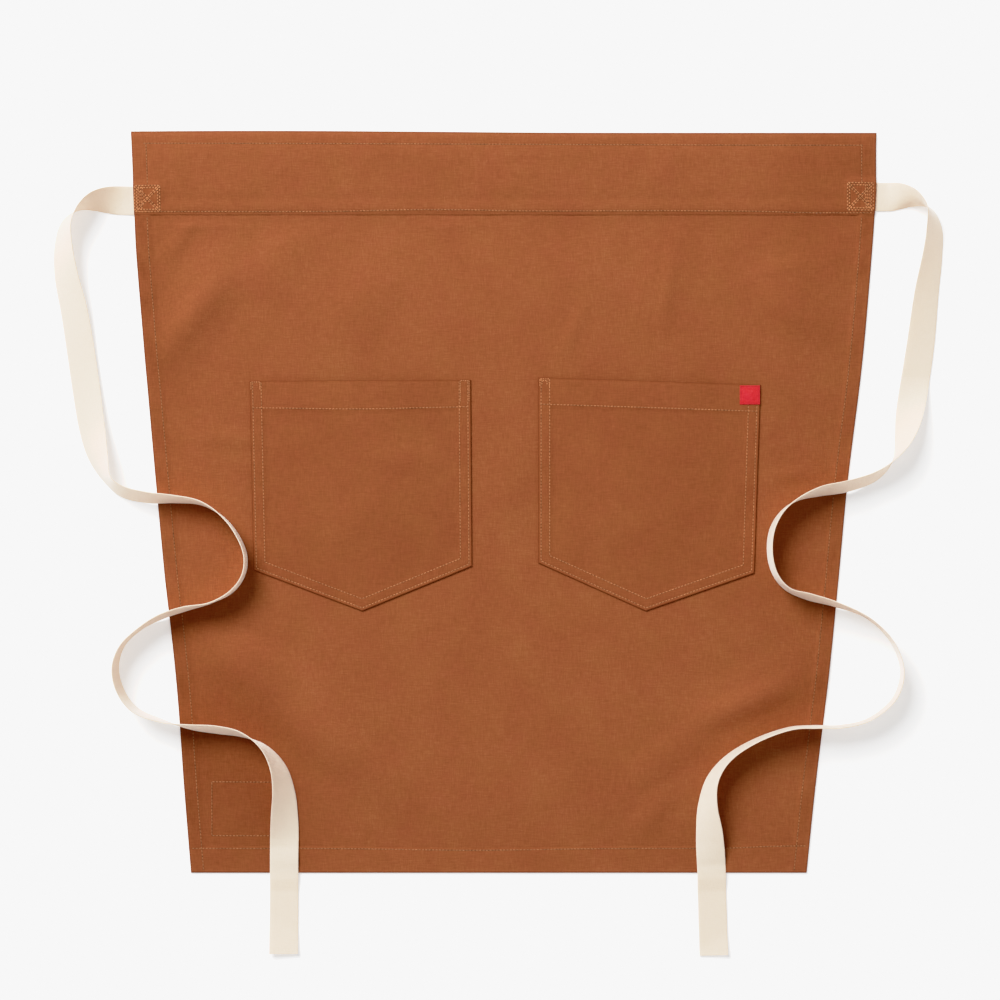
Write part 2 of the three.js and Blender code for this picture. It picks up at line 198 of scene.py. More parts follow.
@dataclass(frozen=True)
class WovenCloth:
    """Woven cotton: threads over and under each other, with thicker slubs along both thread directions."""

    name: str
    colour: str
    dark: str
    light: str
    pitch: float
    slub_length: float
    slub_depth: float
    mottle: float
    roughness: float
    sheen: float
    relief: float
    along_tape: bool = False
    twill: bool = False
    glow_through: str = ""
    thin: float = 0.0
    dye: float = 0.003

    def material(self) -> bpy.types.Material:
        """Builds the procedural material.

        Returns:
            The material, with weave and slubs in colour and in bump.
        """
        material, tree, output = new_material(self.name)
        if self.along_tape:
            place = add_node(tree, "UVMap", {"uv_map": TapeTie.WEAVE_MAP}).outputs["UV"]
        else:
            place = add_node(tree, "TexCoord").outputs["Object"]

        def slub(stretch: tuple[float, float, float], seed: float) -> bpy.types.NodeSocket:
            scaled = add_node(
                tree, "Mapping", {"Scale": stretch, "Location": (seed, seed, 0.0)}, Vector=place
            ).outputs[0]
            noise = {"Scale": 1.0, "Detail": 2.0, "Roughness": 0.6}
            return add_node(tree, "TexNoise", noise, Vector=scaled).outputs["Fac"]

        thin, long = 1 / (self.pitch * MM), 1 / (self.slub_length * MM)
        weft = slub((long, thin, thin), 3.0)
        warp = slub((thin, long, thin), 17.0)
        threads = add_node(tree, "Math", {"operation": "ADD"}, in0=weft, in1=warp).outputs[0]
        wave = {"Scale": math.pi / (5 * self.pitch * MM), "Distortion": 0.6, "Detail": 1.0}
        if self.twill:
            wave["bands_direction"] = "DIAGONAL"
            ribs = add_node(tree, "TexWave", wave, Vector=place).outputs["Fac"]
        else:
            across = add_node(tree, "TexWave", {**wave, "bands_direction": "X"}, Vector=place)
            up = add_node(tree, "TexWave", {**wave, "bands_direction": "Y"}, Vector=place)
            ribs = add_node(
                tree, "Math", {"operation": "MULTIPLY"}, in0=across.outputs["Fac"], in1=up.outputs["Fac"]
            ).outputs[0]
        cloudy = add_node(tree, "TexNoise", {"Scale": 1 / 0.075, "Detail": 4.0, "Roughness": 0.68}, Vector=place).outputs["Fac"]

        centred = add_node(
            tree, "MapRange", {"From Min": 0.7, "From Max": 1.3, "To Min": -1.0, "To Max": 1.0, "clamp": False}, Value=threads
        ).outputs[0]
        rib = add_node(
            tree, "MapRange", {"To Min": -0.5, "To Max": 0.5}, Value=ribs
        ).outputs[0]
        both = add_node(tree, "Math", {"operation": "ADD"}, in0=centred, in1=rib).outputs[0]
        fine = add_node(tree, "Math", {"operation": "MULTIPLY", 1: self.slub_depth}, in0=both).outputs[0]
        cloud = add_node(
            tree, "MapRange", {"From Min": 0.3, "From Max": 0.7, "To Min": -self.mottle, "To Max": self.mottle}, Value=cloudy
        ).outputs[0]
        # Per-point painted shade, with some plain tone, moves each point along the colour ramp
        shade_and_tone = add_node(tree, "Attribute", {"attribute_name": "shade_and_tone"}).outputs["Fac"]
        shift = add_node(tree, "Math", {"operation": "ADD"}, in0=fine, in1=cloud).outputs[0]
        moved = add_node(tree, "Math", {"operation": "ADD"}, in0=shift, in1=shade_and_tone).outputs[0]
        share = add_node(tree, "Math", {"operation": "ADD", 1: 0.5, "use_clamp": True}, in0=moved).outputs[0]
        colours = add_node(tree, "ValToRGB", {}, Fac=share)
        stops = colours.color_ramp.elements
        stops[0].color, stops[1].color = linear(self.dark), linear(self.light)
        stops.new(0.5).color = linear(self.colour)
        uneven = add_node(tree, "TexNoise", {"Scale": 1 / 0.04, "Detail": 5.0, "Roughness": 0.7}, Vector=place).outputs["Fac"]
        hue = add_node(
            tree, "MapRange", {"From Min": 0.3, "From Max": 0.7, "To Min": 0.5 - self.dye, "To Max": 0.5 + self.dye}, Value=uneven
        ).outputs[0]
        dyed = add_node(tree, "HueSaturation", {}, Hue=hue, Color=colours.outputs["Color"]).outputs[0]

        bump = add_node(
            tree, "Bump", {"Strength": self.relief, "Distance": 0.3 * MM}, Height=both
        ).outputs[0]
        surface = add_node(
            tree,
            "BsdfPrincipled",
            {
                "Roughness": self.roughness,
                "IOR": 1.5,
                "Specular IOR Level": 0.2,
                "Sheen Weight": self.sheen,
                "Sheen Roughness": 0.5,
            },
            Base_Color=dyed,
            Normal=bump,
        )
        if not self.glow_through:
            tree.links.new(surface.outputs[0], output.inputs["Surface"])
            return material
        through = add_node(tree, "BsdfTranslucent", {"Color": linear(self.glow_through)}, Normal=bump)
        mixed = add_node(tree, "MixShader", {0: self.thin}, in1=surface.outputs[0], in2=through.outputs[0])
        tree.links.new(mixed.outputs[0], output.inputs["Surface"])
        return material


@dataclass(frozen=True)
class SewingThread:
    """Spun polyester thread: plies twisted round each other, a little shinier than the cloth."""

    name: str
    colour: str
    roughness: float
    hole_shade: float = 0.28

    def material(self) -> bpy.types.Material:
        """Builds the procedural material.

        Returns:
            The material, uneven from stitch to stitch, with painted shade at its ends where the thread goes into its
            hole.
        """
        material, tree, output = new_material(self.name)
        place = add_node(tree, "TexCoord").outputs["Object"]
        noise = add_node(tree, "TexNoise", {"Scale": 1 / (7 * MM), "Detail": 1.0}, Vector=place).outputs["Fac"]
        value = add_node(
            tree, "MapRange", {"From Min": 0.3, "From Max": 0.7, "To Min": 0.78, "To Max": 1.16}, Value=noise
        ).outputs[0]
        # Per-point painted shade darkens each stitch's ends, where the thread goes into its hole; its middle is only
        # dimmed
        shade_and_tone = add_node(tree, "Attribute", {"attribute_name": "shade_and_tone"}).outputs["Fac"]
        depth = add_node(
            tree, "MapRange", {"From Min": -1.0, "From Max": 0.0, "To Min": self.hole_shade, "To Max": 1.0}, Value=shade_and_tone
        ).outputs[0]
        shade = add_node(tree, "Math", {"operation": "MULTIPLY"}, in0=value, in1=depth).outputs[0]
        colour = add_node(tree, "HueSaturation", {"Color": linear(self.colour)}, Value=shade).outputs[0]
        surface = add_node(
            tree,
            "BsdfPrincipled",
            {"Roughness": self.roughness, "Specular IOR Level": 0.3},
            Base_Color=colour,
        )
        tree.links.new(surface.outputs[0], output.inputs["Surface"])
        return material


@dataclass(frozen=True)
class SeamlessPaper:
    """Brightly lit seamless paper: it shows almost white, and shadows on it stay light."""

    name: str
    colour: str
    glow: float

    def material(self) -> bpy.types.Material:
        """Builds the floor's material.

        Returns:
            The material, a matt paper with part of its light evenly its own.
        """
        material, tree, output = new_material(self.name)
        settings = {
            "Base Color": linear(self.colour),
            "Roughness": 1.0,
            "Specular IOR Level": 0.0,
            "Emission Color": (1.0, 1.0, 1.0, 1.0),
            "Emission Strength": self.glow,
        }
        surface = add_node(tree, "BsdfPrincipled", settings)
        tree.links.new(surface.outputs[0], output.inputs["Surface"])
        return material


# Piece-dyed cotton canvas, plain weave. Its threads of about 0.5 mm are too fine to show in the render,
# so they are drawn 1.1 mm apart. Matt, with a faint nap and slightly uneven yarn.
CANVAS = WovenCloth("canvas_plain_weave", "#8f5436", "#754026", "#a7704c", 1.1, 9.0, 0.13, 0.06, 0.95, 0.0, 0.3)
# Undyed cotton twill tape, soft and matt, with its ribs running slantwise.
TAPE = WovenCloth(
    "cotton_twill_tape", "#f3e2cf", "#ecdac4", "#f9ebd9", 1.3, 8.0, 0.12, 0.04, 0.95, 0.7, 0.25, True, True, "#fae0cc", 0.22
)
# Woven polyester label cloth, close and even, with a little sheen.
LABEL = WovenCloth("red_woven_label", "#c42d36", "#a71d28", "#d05256", 0.8, 3.0, 0.2, 0.02, 0.65, 0.1, 0.3)
# Spun polyester sewing thread, a shade lighter than the canvas.
THREAD = SewingThread("orange_brown_thread", "#bf8056", 0.7)
RED_THREAD = SewingThread("red_thread", "#ab2d36", 0.7)
PAPER = SeamlessPaper("seamless_paper", "#f2f2f2", 0.33)


# Shape helpers


def ramp(t: Array, a: float, b: float) -> Array:
    """Rises smoothly from 0 to 1 as t goes from a to b."""
    share = np.clip((np.asarray(t, float) - a) / (b - a), 0, 1)
    return share * share * (3 - 2 * share)


def rounded(inset: Array, radius: float, least: float) -> Array:
    """Share of the full thickness near a folded edge.

    Args:
        inset: how far a point lies in from the edge.
        radius: how far in the edge is round.
        least: share that is left at the very edge.

    Returns:
        Share from least to 1.
    """
    flat = np.clip(1 - np.asarray(inset, float) / radius, 0, 1)
    return least + (1 - least) * np.sqrt(1 - flat * flat)


def groove(distance: Array, width: float) -> Array:
    """Bell of height 1 about a seam, at a distance from it."""
    return np.exp(-((np.asarray(distance, float) / width) ** 2))


def raised(x: Array, y: Array, ridges: Sequence[Ridge]) -> Array:
    """Sums the heights of soft ridges.

    Args:
        x: points' x.
        y: points' y.
        ridges: the ridges.

    Returns:
        Height at each point.
    """
    height = np.zeros(np.broadcast(x, y).shape)
    for ridge in ridges:
        cos, sin = math.cos(math.radians(ridge.turn)), math.sin(math.radians(ridge.turn))
        along = ((x - ridge.x) * cos + (y - ridge.y) * sin) / ridge.long
        over = ((y - ridge.y) * cos - (x - ridge.x) * sin) / ridge.wide
        inside = (np.abs(along) < 1) & (np.abs(over) < 1)
        height += np.where(inside, ridge.rise * (1 - along**2) ** 2 * (1 - over**2) ** 2, 0)
    return height


def catmull(values: Array, at: Array) -> Array:
    """Reads an even Catmull-Rom curve through rows of values.

    Args:
        values: the rows that the curve goes through.
        at: places on it, counted in rows.

    Returns:
        The curve's value at each place.
    """
    last = len(values) - 1
    row = np.clip(np.floor(at).astype(int), 0, last - 1)
    w = (at - row).reshape(-1, *[1] * (values.ndim - 1))
    p0, p1, p2, p3 = (values[np.clip(row + k, 0, last)] for k in (-1, 0, 1, 2))
    v0, v1 = (p2 - p0) / 2, (p3 - p1) / 2
    return (2 * p1 - 2 * p2 + v0 + v1) * w**3 + (3 * p2 - 3 * p1 - 2 * v0 - v1) * w**2 + v0 * w + p1


@dataclass(frozen=True)
class Ripple:
    """Faint unevenness of cloth that has been pressed and handled: a sum of long, low waves."""

    seed: int
    height: float
    shortest: float = 26.0
    longest: float = 110.0
    waves: int = 26

    def __call__(self, x: Array, y: Array) -> Array:
        """Height of the waves at each point."""
        rng = np.random.default_rng(self.seed)
        total = np.zeros(np.broadcast(x, y).shape)
        for _ in range(self.waves):
            turn, phase = rng.uniform(0, 2 * math.pi, 2)
            length = rng.uniform(self.shortest, self.longest)
            wave = 2 * math.pi * (x * math.cos(turn) + y * math.sin(turn)) / length + phase
            total += np.cos(wave) * length / self.longest
        return self.height * total / math.sqrt(self.waves)


@dataclass(frozen=True)
class Stations:
    """Places across a sheet: close together near both edges, evenly spread between."""

    near: tuple[float, ...]
    far: tuple[float, ...]
    step: float
    span: float
    whole: int = 4

    def between(self, low: Array, high: Array) -> Array:
        """Lays the places out between two edges.

        Args:
            low: position of the near edge, one for each line.
            high: position of the far edge, one for each line.

        Returns:
            One line of positions for each pair of edges.
        """
        low, high = np.atleast_1d(low)[:, None], np.atleast_1d(high)[:, None]
        first, last = self.near[-1], self.far[-1]
        ends = len(self.near) + len(self.far) - 2
        count = max(1, round((self.span - first - last) / self.step))
        count += -(count + ends) % self.whole
        middle = np.arange(1, count) / count
        spread = low + first + (high - low - first - last) * middle
        return np.hstack([low + np.array(self.near), spread, high - np.array(self.far[::-1])])


HEM_INSETS = (0.0, 0.35, 0.9, 2.0, 4.0, 6.5, 9.5, 11.6, 12.6, 13.3, 14.0, 14.7, 15.5, 16.6, 18.5, 21.5)
BOTTOM_INSETS = (0.0, 0.35, 0.9, 2.0, 5.0, 9.0, 13.5, 18.0, 22.0, 24.5, 25.6, 26.2, 26.9, 27.7, 28.8, 31.0, 34.0)
EDGE_INSETS = (0.0, 0.3, 0.9, 1.6, 2.4, 3.1, 3.8, 4.8, 6.5, 9.0)


class Piece:
    """Builds one Blender object and hands it to the frame."""

    def __init__(self, name: str, points: Array, faces: Sequence[Sequence[int]], sharp: float = 40.0) -> None:
        """Makes the mesh.

        Args:
            name: name of the object.
            points: its points in mm.
            faces: its faces, each a list of point numbers.
            sharp: angle in degrees from which an edge stays sharp.
        """
        mesh = bpy.data.meshes.new(name)
        mesh.from_pydata((np.asarray(points, float) * MM).tolist(), [], faces)
        mesh.update()
        mesh.polygons.foreach_set("use_smooth", np.ones(len(mesh.polygons), bool))
        mesh.set_sharp_from_angle(angle=math.radians(sharp))
        self.thing = bpy.data.objects.new(name, mesh)
        bpy.context.scene.collection.objects.link(self.thing)

    def dress(self, material: bpy.types.Material, slot: str) -> "Piece":
        """Gives it its material and lets it ride with the apron."""
        self.thing.data.materials.append(material)
        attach(self.thing, ROOT)
        log.info("%s: %d points", self.thing.name, len(self.thing.data.vertices))
        return self

    def shade_and_tone(self, values: Array) -> "Piece":
        """Stores how much lighter or darker each point is than its cloth: mostly painted shade, with some plain
        tone.
        """
        full = np.zeros(len(self.thing.data.vertices), np.float32)
        full[: values.size] = values.ravel()
        self.thing.data.attributes.new("shade_and_tone", "FLOAT", "POINT").data.foreach_set("value", full)
        return self

    def cloth(self, width: float, length: float, held: Held, rests_on: Sequence[str], area: float | None = None) -> "Piece":
        """Args:
            width: flat width in mm; not used.
            length: flat length in mm; not used.
            held: how it is held; not used.
            rests_on: names of what it rests on; not used.
            area: flat area in square mm where the cut isn't a rectangle; not used.

        Returns:
            The piece itself.
        """
        return self


def sheet_piece(name: str, x: Array, y: Array, top: Array, under: Array, coarse: int = 4) -> Piece:
    """Makes a closed sheet with a fine upper face and a coarser underside.

    Args:
        name: name of the object.
        x: x of the grid's points, rows by columns.
        y: y of the grid's points.
        top: height of the upper face.
        under: height of the underside.
        coarse: every how many grid lines the underside has one.

    Returns:
        The piece.
    """
    rows, columns = x.shape
    upper = np.arange(rows * columns).reshape(rows, columns)
    low_rows, low_columns = np.arange(0, rows, coarse), np.arange(0, columns, coarse)
    lower = rows * columns + np.arange(len(low_rows) * len(low_columns)).reshape(len(low_rows), len(low_columns))
    below = tuple(a[np.ix_(low_rows, low_columns)].ravel() for a in (x, y, under))
    points = np.vstack([np.column_stack([x.ravel(), y.ravel(), top.ravel()]), np.column_stack(below)])

    def cells(index: Array) -> Array:
        corners = (index[:-1, :-1], index[:-1, 1:], index[1:, 1:], index[1:, :-1])
        return np.stack([c.ravel() for c in corners], axis=1)

    faces = cells(upper).tolist() + cells(lower)[:, ::-1].tolist()
    rims = (
        (upper[0], lower[0], False),
        (upper[-1], lower[-1], True),
        (upper[:, 0], lower[:, 0], True),
        (upper[:, -1], lower[:, -1], False),
    )
    for high, low, turned in rims:
        for k in range(len(low) - 1):
            ring = [low[k], low[k + 1], *high[k * coarse : (k + 1) * coarse + 1][::-1]]
            faces.append([int(v) for v in (ring[::-1] if turned else ring)])
    return Piece(name, points, faces)


@dataclass(frozen=True)
class Seam:
    """Lockstitch rows: each stitch a low thread hump a little shorter than the pitch."""

    pitch: float = 3.45
    length: float = 3.3
    width: float = 1.25
    height: float = 0.42
    narrow: float = 0.7
    faded: float = 0.0

    def build(self, name: str, rows: Sequence[Array], surface: Callable[[Array, Array], Array]) -> Piece:
        """Sews rows of stitches on a surface.

        Args:
            name: name of the object.
            rows: lines that the stitches follow, each points by two.
            surface: height of the cloth at points.

        Returns:
            The piece.
        """
        starts, ways = [], []
        rng = np.random.default_rng(len(name))
        for row in rows:
            row = np.asarray(row, float)
            steps = np.linalg.norm(np.diff(row, axis=0), axis=1)
            along = np.concatenate([[0], np.cumsum(steps)])
            count = max(1, round(along[-1] / self.pitch))
            at = (np.arange(count) + 0.5) * along[-1] / count
            centre = np.column_stack([np.interp(at, along, row[:, k]) for k in (0, 1)])
            ahead = np.column_stack([np.interp(np.minimum(at + 0.5, along[-1]), along, row[:, k]) for k in (0, 1)])
            behind = np.column_stack([np.interp(np.maximum(at - 0.5, 0), along, row[:, k]) for k in (0, 1)])
            way = ahead - behind
            starts.append(centre)
            ways.append(way / np.linalg.norm(way, axis=1, keepdims=True))
        centre, way = np.vstack(starts), np.vstack(ways)
        slant = np.radians(rng.normal(2, 3, len(way)))
        way = np.column_stack(
            [way[:, 0] * np.cos(slant) - way[:, 1] * np.sin(slant), way[:, 0] * np.sin(slant) + way[:, 1] * np.cos(slant)]
        )
        side = np.column_stack([-way[:, 1], way[:, 0]])
        # A stitch has four sections of three points: sunk and narrow at its ends, full between
        stretch = rng.normal(1, 0.06, len(way))[:, None]
        points = np.empty((len(centre), 12, 3))
        for k in range(12):
            at, over = (-1, -0.42, 0.42, 1)[k // 3], (-1, 0, 1)[k % 3]
            full = 1.0 if k // 3 in (1, 2) else self.narrow
            flat = centre + way * at * self.length / 2 * stretch + side * over * full * self.width / 2
            points[:, k, :2] = flat
            rise = (1.0 if k // 3 in (1, 2) else 0.25) if over == 0 else 0.0
            points[:, k, 2] = surface(flat[:, 0], flat[:, 1]) - 0.04 + rise * self.height
        one = [(0, 1, 2), (11, 10, 9)]
        for k in (0, 3, 6):
            one += [(k, k + 3, k + 4, k + 1), (k + 1, k + 4, k + 5, k + 2), (k, k + 2, k + 5, k + 3)]
        faces = [[v + 12 * k for v in face] for k in range(len(centre)) for face in one]
        # Painted shade of the needle holes at each stitch's ends; the middle is only dimmed by faded
        hole_shade = np.tile([-1.0] * 3 + [-self.faded] * 6 + [-1.0] * 3, len(centre))
        return Piece(name, points.reshape(-1, 3), faces, 180.0).shade_and_tone(hole_shade)


# The apron's pieces


@dataclass
class Panel:
    """Skirt panel: one canvas trapezoid with double side hems and a deeper bottom hem."""

    waist_width: float = 762.0
    hem_width: float = 629.0
    hem_shift: float = -5.0
    length: float = 756.0
    side_swell: float = 7.6
    band_height: float = 84.0
    cloth_thickness: float = 1.1
    hem_thickness: float = 0.8
    side_hem: float = 14.5
    bottom_hem: float = 27.0
    tuck: float = 8.0
    tie_sewn: float = 26.0
    air: float = 3.6
    air_reach: float = 90.0
    band_step: float = 0.55
    cell: float = 3.3
    ripple: Ripple = field(default_factory=lambda: Ripple(5, 0.22))
    # Outward swell of the side edges: share of the length down, left and right shares of side_swell
    swell: tuple[tuple[float, float, float], ...] = (
        (0.0, 0.0, 0.0),
        (0.08, 0.3, 0.65),
        (0.16, 0.6, 0.9),
        (0.31, 0.57, 1.0),
        (0.47, 0.46, 0.56),
        (0.6, 0.3, 0.56),
        (0.69, 0.0, 0.54),
        (0.77, -0.12, 0.4),
        (0.88, 0.0, 0.1),
        (1.0, 0.0, 0.0),
    )

    @property
    def half_waist(self) -> float:
        """Half the waistband's width."""
        return self.waist_width / 2

    @property
    def y_top(self) -> float:
        """Height of the apron's top edge."""
        return self.length / 2

    @property
    def y_hem(self) -> float:
        """Height of the bottom edge."""
        return -self.length / 2

    @property
    def y_band(self) -> float:
        """Height of the waistband's lower edge."""
        return self.y_top - self.band_height

    def side_x(self, y: Array, side: Side) -> Array:
        """Side edge of the apron.

        Args:
            y: heights.
            side: which edge.

        Returns:
            The edge's x at each height.
        """
        y = np.asarray(y, float)
        down = np.clip((self.y_top - y) / self.length, 0, 1)
        table = np.array(self.swell)
        row = np.interp(down.ravel(), table[:, 0], np.arange(len(table)))
        swell = catmull(table[:, 1 if side is Side.LEFT else 2], row).reshape(down.shape)
        straight = side.value * (self.half_waist + (self.hem_width / 2 - self.half_waist) * down) + self.hem_shift * down
        return straight + side.value * self.side_swell * swell

    def inset(self, x: Array, y: Array) -> Array:
        """How far points lie in from the nearer side edge."""
        return np.minimum(x - self.side_x(y, Side.LEFT), self.side_x(y, Side.RIGHT) - x)

    def lie(self, x: Array, y: Array) -> Array:
        """Height of the cloth's underside over the surface.

        Args:
            x: points' x.
            y: points' y.

        Returns:
            Height, never below nothing.
        """
        side, bottom = self.inset(x, y), y - self.y_hem
        near = np.minimum(side, bottom)
        air = self.air * ramp(np.minimum(near, self.y_band - y), 0, self.air_reach)
        fade = ramp(self.y_band - y, 0, self.band_height / 3)
        soft = raised(x, y, FOLDS) * fade * self.beside_pockets(x, y)
        crease = raised(x, y, CREASES) * ramp(near, -2, 16) * ramp(self.y_band - y, 0, 16)
        wave = self.ripple(x, y) * ramp(near, 2, 40)
        under_band = self.band_step * (1 - ramp(self.y_band - y, 0.5, 6.5)) * ramp(side, 0, 12)
        height = air + soft + crease + wave + under_band
        return (height + np.sqrt(height**2 + 0.04)) / 2 - 0.1

    def beside_pockets(self, x: Array, y: Array) -> Array:
        """1 clear of both pockets, falling to 0 at their edges."""
        reach = np.full(np.broadcast(x, y).shape, np.inf)
        for low in (-259.25, 35.05):
            dx = np.maximum(np.maximum(low - x, x - low - 227), 0)
            dy = np.maximum(np.maximum(y - 125.4, -110.6 - y), 0)
            reach = np.minimum(reach, np.hypot(dx, dy))
        return ramp(reach, 6, 40)

    def over_hem(self, x: Array, y: Array) -> Array:
        """Height over the bottom edge, less what the hem's depth wanders from its usual one."""
        wander = -1.0 - 2.0 * groove(np.asarray(x, float) + 32, 95) + 2.4 * ramp(x, 215, 290)
        return y - self.y_hem - wander * ramp(y - self.y_hem, 6, 22)

    def thickness(self, x: Array, y: Array) -> Array:
        """Thickness of the cloth: double in the hems, drawn in at the stitch rows, round at the edges."""
        side, bottom = self.inset(x, y), self.over_hem(x, y)
        in_side = 1 - ramp(side, self.side_hem - 1.0, self.side_hem + 3.5)
        in_bottom = 1 - ramp(bottom, self.bottom_hem - 0.4, self.bottom_hem + 1.2)
        doubled = self.cloth_thickness + self.hem_thickness * np.maximum(in_side, in_bottom)
        # Roping: the hem twists slightly, in slanting waves between its edge and its stitches
        side_wave = np.sin(2 * math.pi * (y + 0.9 * side) / 13.0 + 1.3 * np.sin(y / 31.0))
        bottom_wave = np.sin(2 * math.pi * (x + 0.8 * bottom) / 15.0 + 1.5 * np.sin(x / 37.0))
        roping = 0.1 * side_wave * in_side * ramp(side, 1, 5) + 0.1 * bottom_wave * in_bottom * ramp(bottom, 1, 6)
        roping += 0.3 * self.pucker(y, side) * in_side * ramp(side, 1, 6)
        drawn = 0.15 * groove(side - self.side_hem + 1.3, 1.1)
        drawn += 0.25 * groove(bottom - self.bottom_hem + 1.0, 1.2) * ramp(side, 0, 3)
        edge = rounded(np.minimum(side, bottom), 0.9, 0.45)
        return (doubled + roping - drawn) * edge

    def pucker(self, y: Array, side: Array) -> Array:
        """Uneven slanting waves along the side hems, from -1 to 1."""
        along = np.asarray(y, float) + 0.7 * side
        return np.sin(2 * math.pi * along / 52.0 + 1.9 * np.sin(along / 37.0)) * (0.7 + 0.3 * np.sin(along / 17.0))

    def top(self, x: Array, y: Array) -> Array:
        """Height of the panel's upper face, and nothing beside it."""
        x, y = np.broadcast_arrays(np.asarray(x, float), np.asarray(y, float))
        on = (self.inset(x, y) >= 0) & (y >= self.y_hem) & (y <= self.y_band)
        return np.where(on, self.lie(x, y) + self.thickness(x, y), 0)

    def build(self, canvas: bpy.types.Material, thread: bpy.types.Material) -> None:
        """Makes the panel and its hem stitches.

        Args:
            canvas: its cloth.
            thread: its thread.
        """
        up = Stations(BOTTOM_INSETS, (0.0, 0.6, 1.6, 3.5, 6.0, 8.5, 11.0), self.cell, self.y_band - self.y_hem)
        across = Stations(HEM_INSETS, HEM_INSETS, self.cell, 0.9 * self.waist_width)
        rows = up.between(self.y_hem, self.y_band)[0]
        x = across.between(self.side_x(rows, Side.LEFT), self.side_x(rows, Side.RIGHT))
        y = np.repeat(rows[:, None], x.shape[1], axis=1)
        tucked = self.tuck * ramp(self.inset(x, y), self.tie_sewn, self.tie_sewn + 16) * ramp(y, self.y_band - 6, self.y_band)
        y = y + tucked
        lie = self.lie(x, y)
        side, bottom = self.inset(x, y), self.over_hem(x, y)
        edge = np.minimum(side, y - self.y_hem)
        # A dark line of painted shade along the rounded outer edges; a little lighter just in from them
        shade_and_tone = 0.05 * groove(edge - 2.2, 1.2) - 0.5 * groove(edge, 0.9)
        # Painted shade just below the bottom hem's fold step
        shade_and_tone -= 0.05 * groove(bottom - self.bottom_hem - 0.4, 1.5) * ramp(side, 10, 16)
        # Painted shade in the troughs of the side hems' puckers
        shade_and_tone -= 0.07 * (1 - self.pucker(y, side)) * groove(side - self.side_hem / 2, 6.5)
        # Wide patches of painted shade
        shade_and_tone += raised(x, y, PAINTED_SHADE_PATCHES)
        sheet_piece("panel_cloth", x, y, lie + self.thickness(x, y), np.maximum(lie, 0)).shade_and_tone(shade_and_tone).dress(canvas, "canvas")
        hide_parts("apron_panel")
        Seam(faded=0.5).build("panel_stitches", self.stitch_rows(), self.top).dress(thread, "canvas")

    def stitch_rows(self) -> list[Array]:
        """Lines of the hem stitches.

        Returns:
            Both side rows, the bottom row and the stitched rectangle near the lower left corner.
        """
        inset = self.side_hem - 1.3
        rows = []
        heights = np.linspace(self.y_band - 2.5, self.y_hem + 3, 160)
        for side in Side:
            rows.append(np.column_stack([self.side_x(heights, side) - side.value * inset, heights]))
        y = self.y_hem + self.bottom_hem - 1.0
        ends = [float(self.side_x(y, side)) - side.value * 3 for side in Side]
        x = np.linspace(ends[0], ends[1], 60)
        rows.append(np.column_stack([x, 2 * y - self.over_hem(x, y) - self.y_hem]))
        left, right, low, high = -298.0, -225.0, -340.0, -285.0
        rows.append(np.array([[left, high], [right, high]]))
        rows.append(np.array([[right, high], [right, low]]))
        rows.append(np.array([[right, low], [left, low]]))
        rows.append(np.array([[left, low], [left, high]]))
        return rows


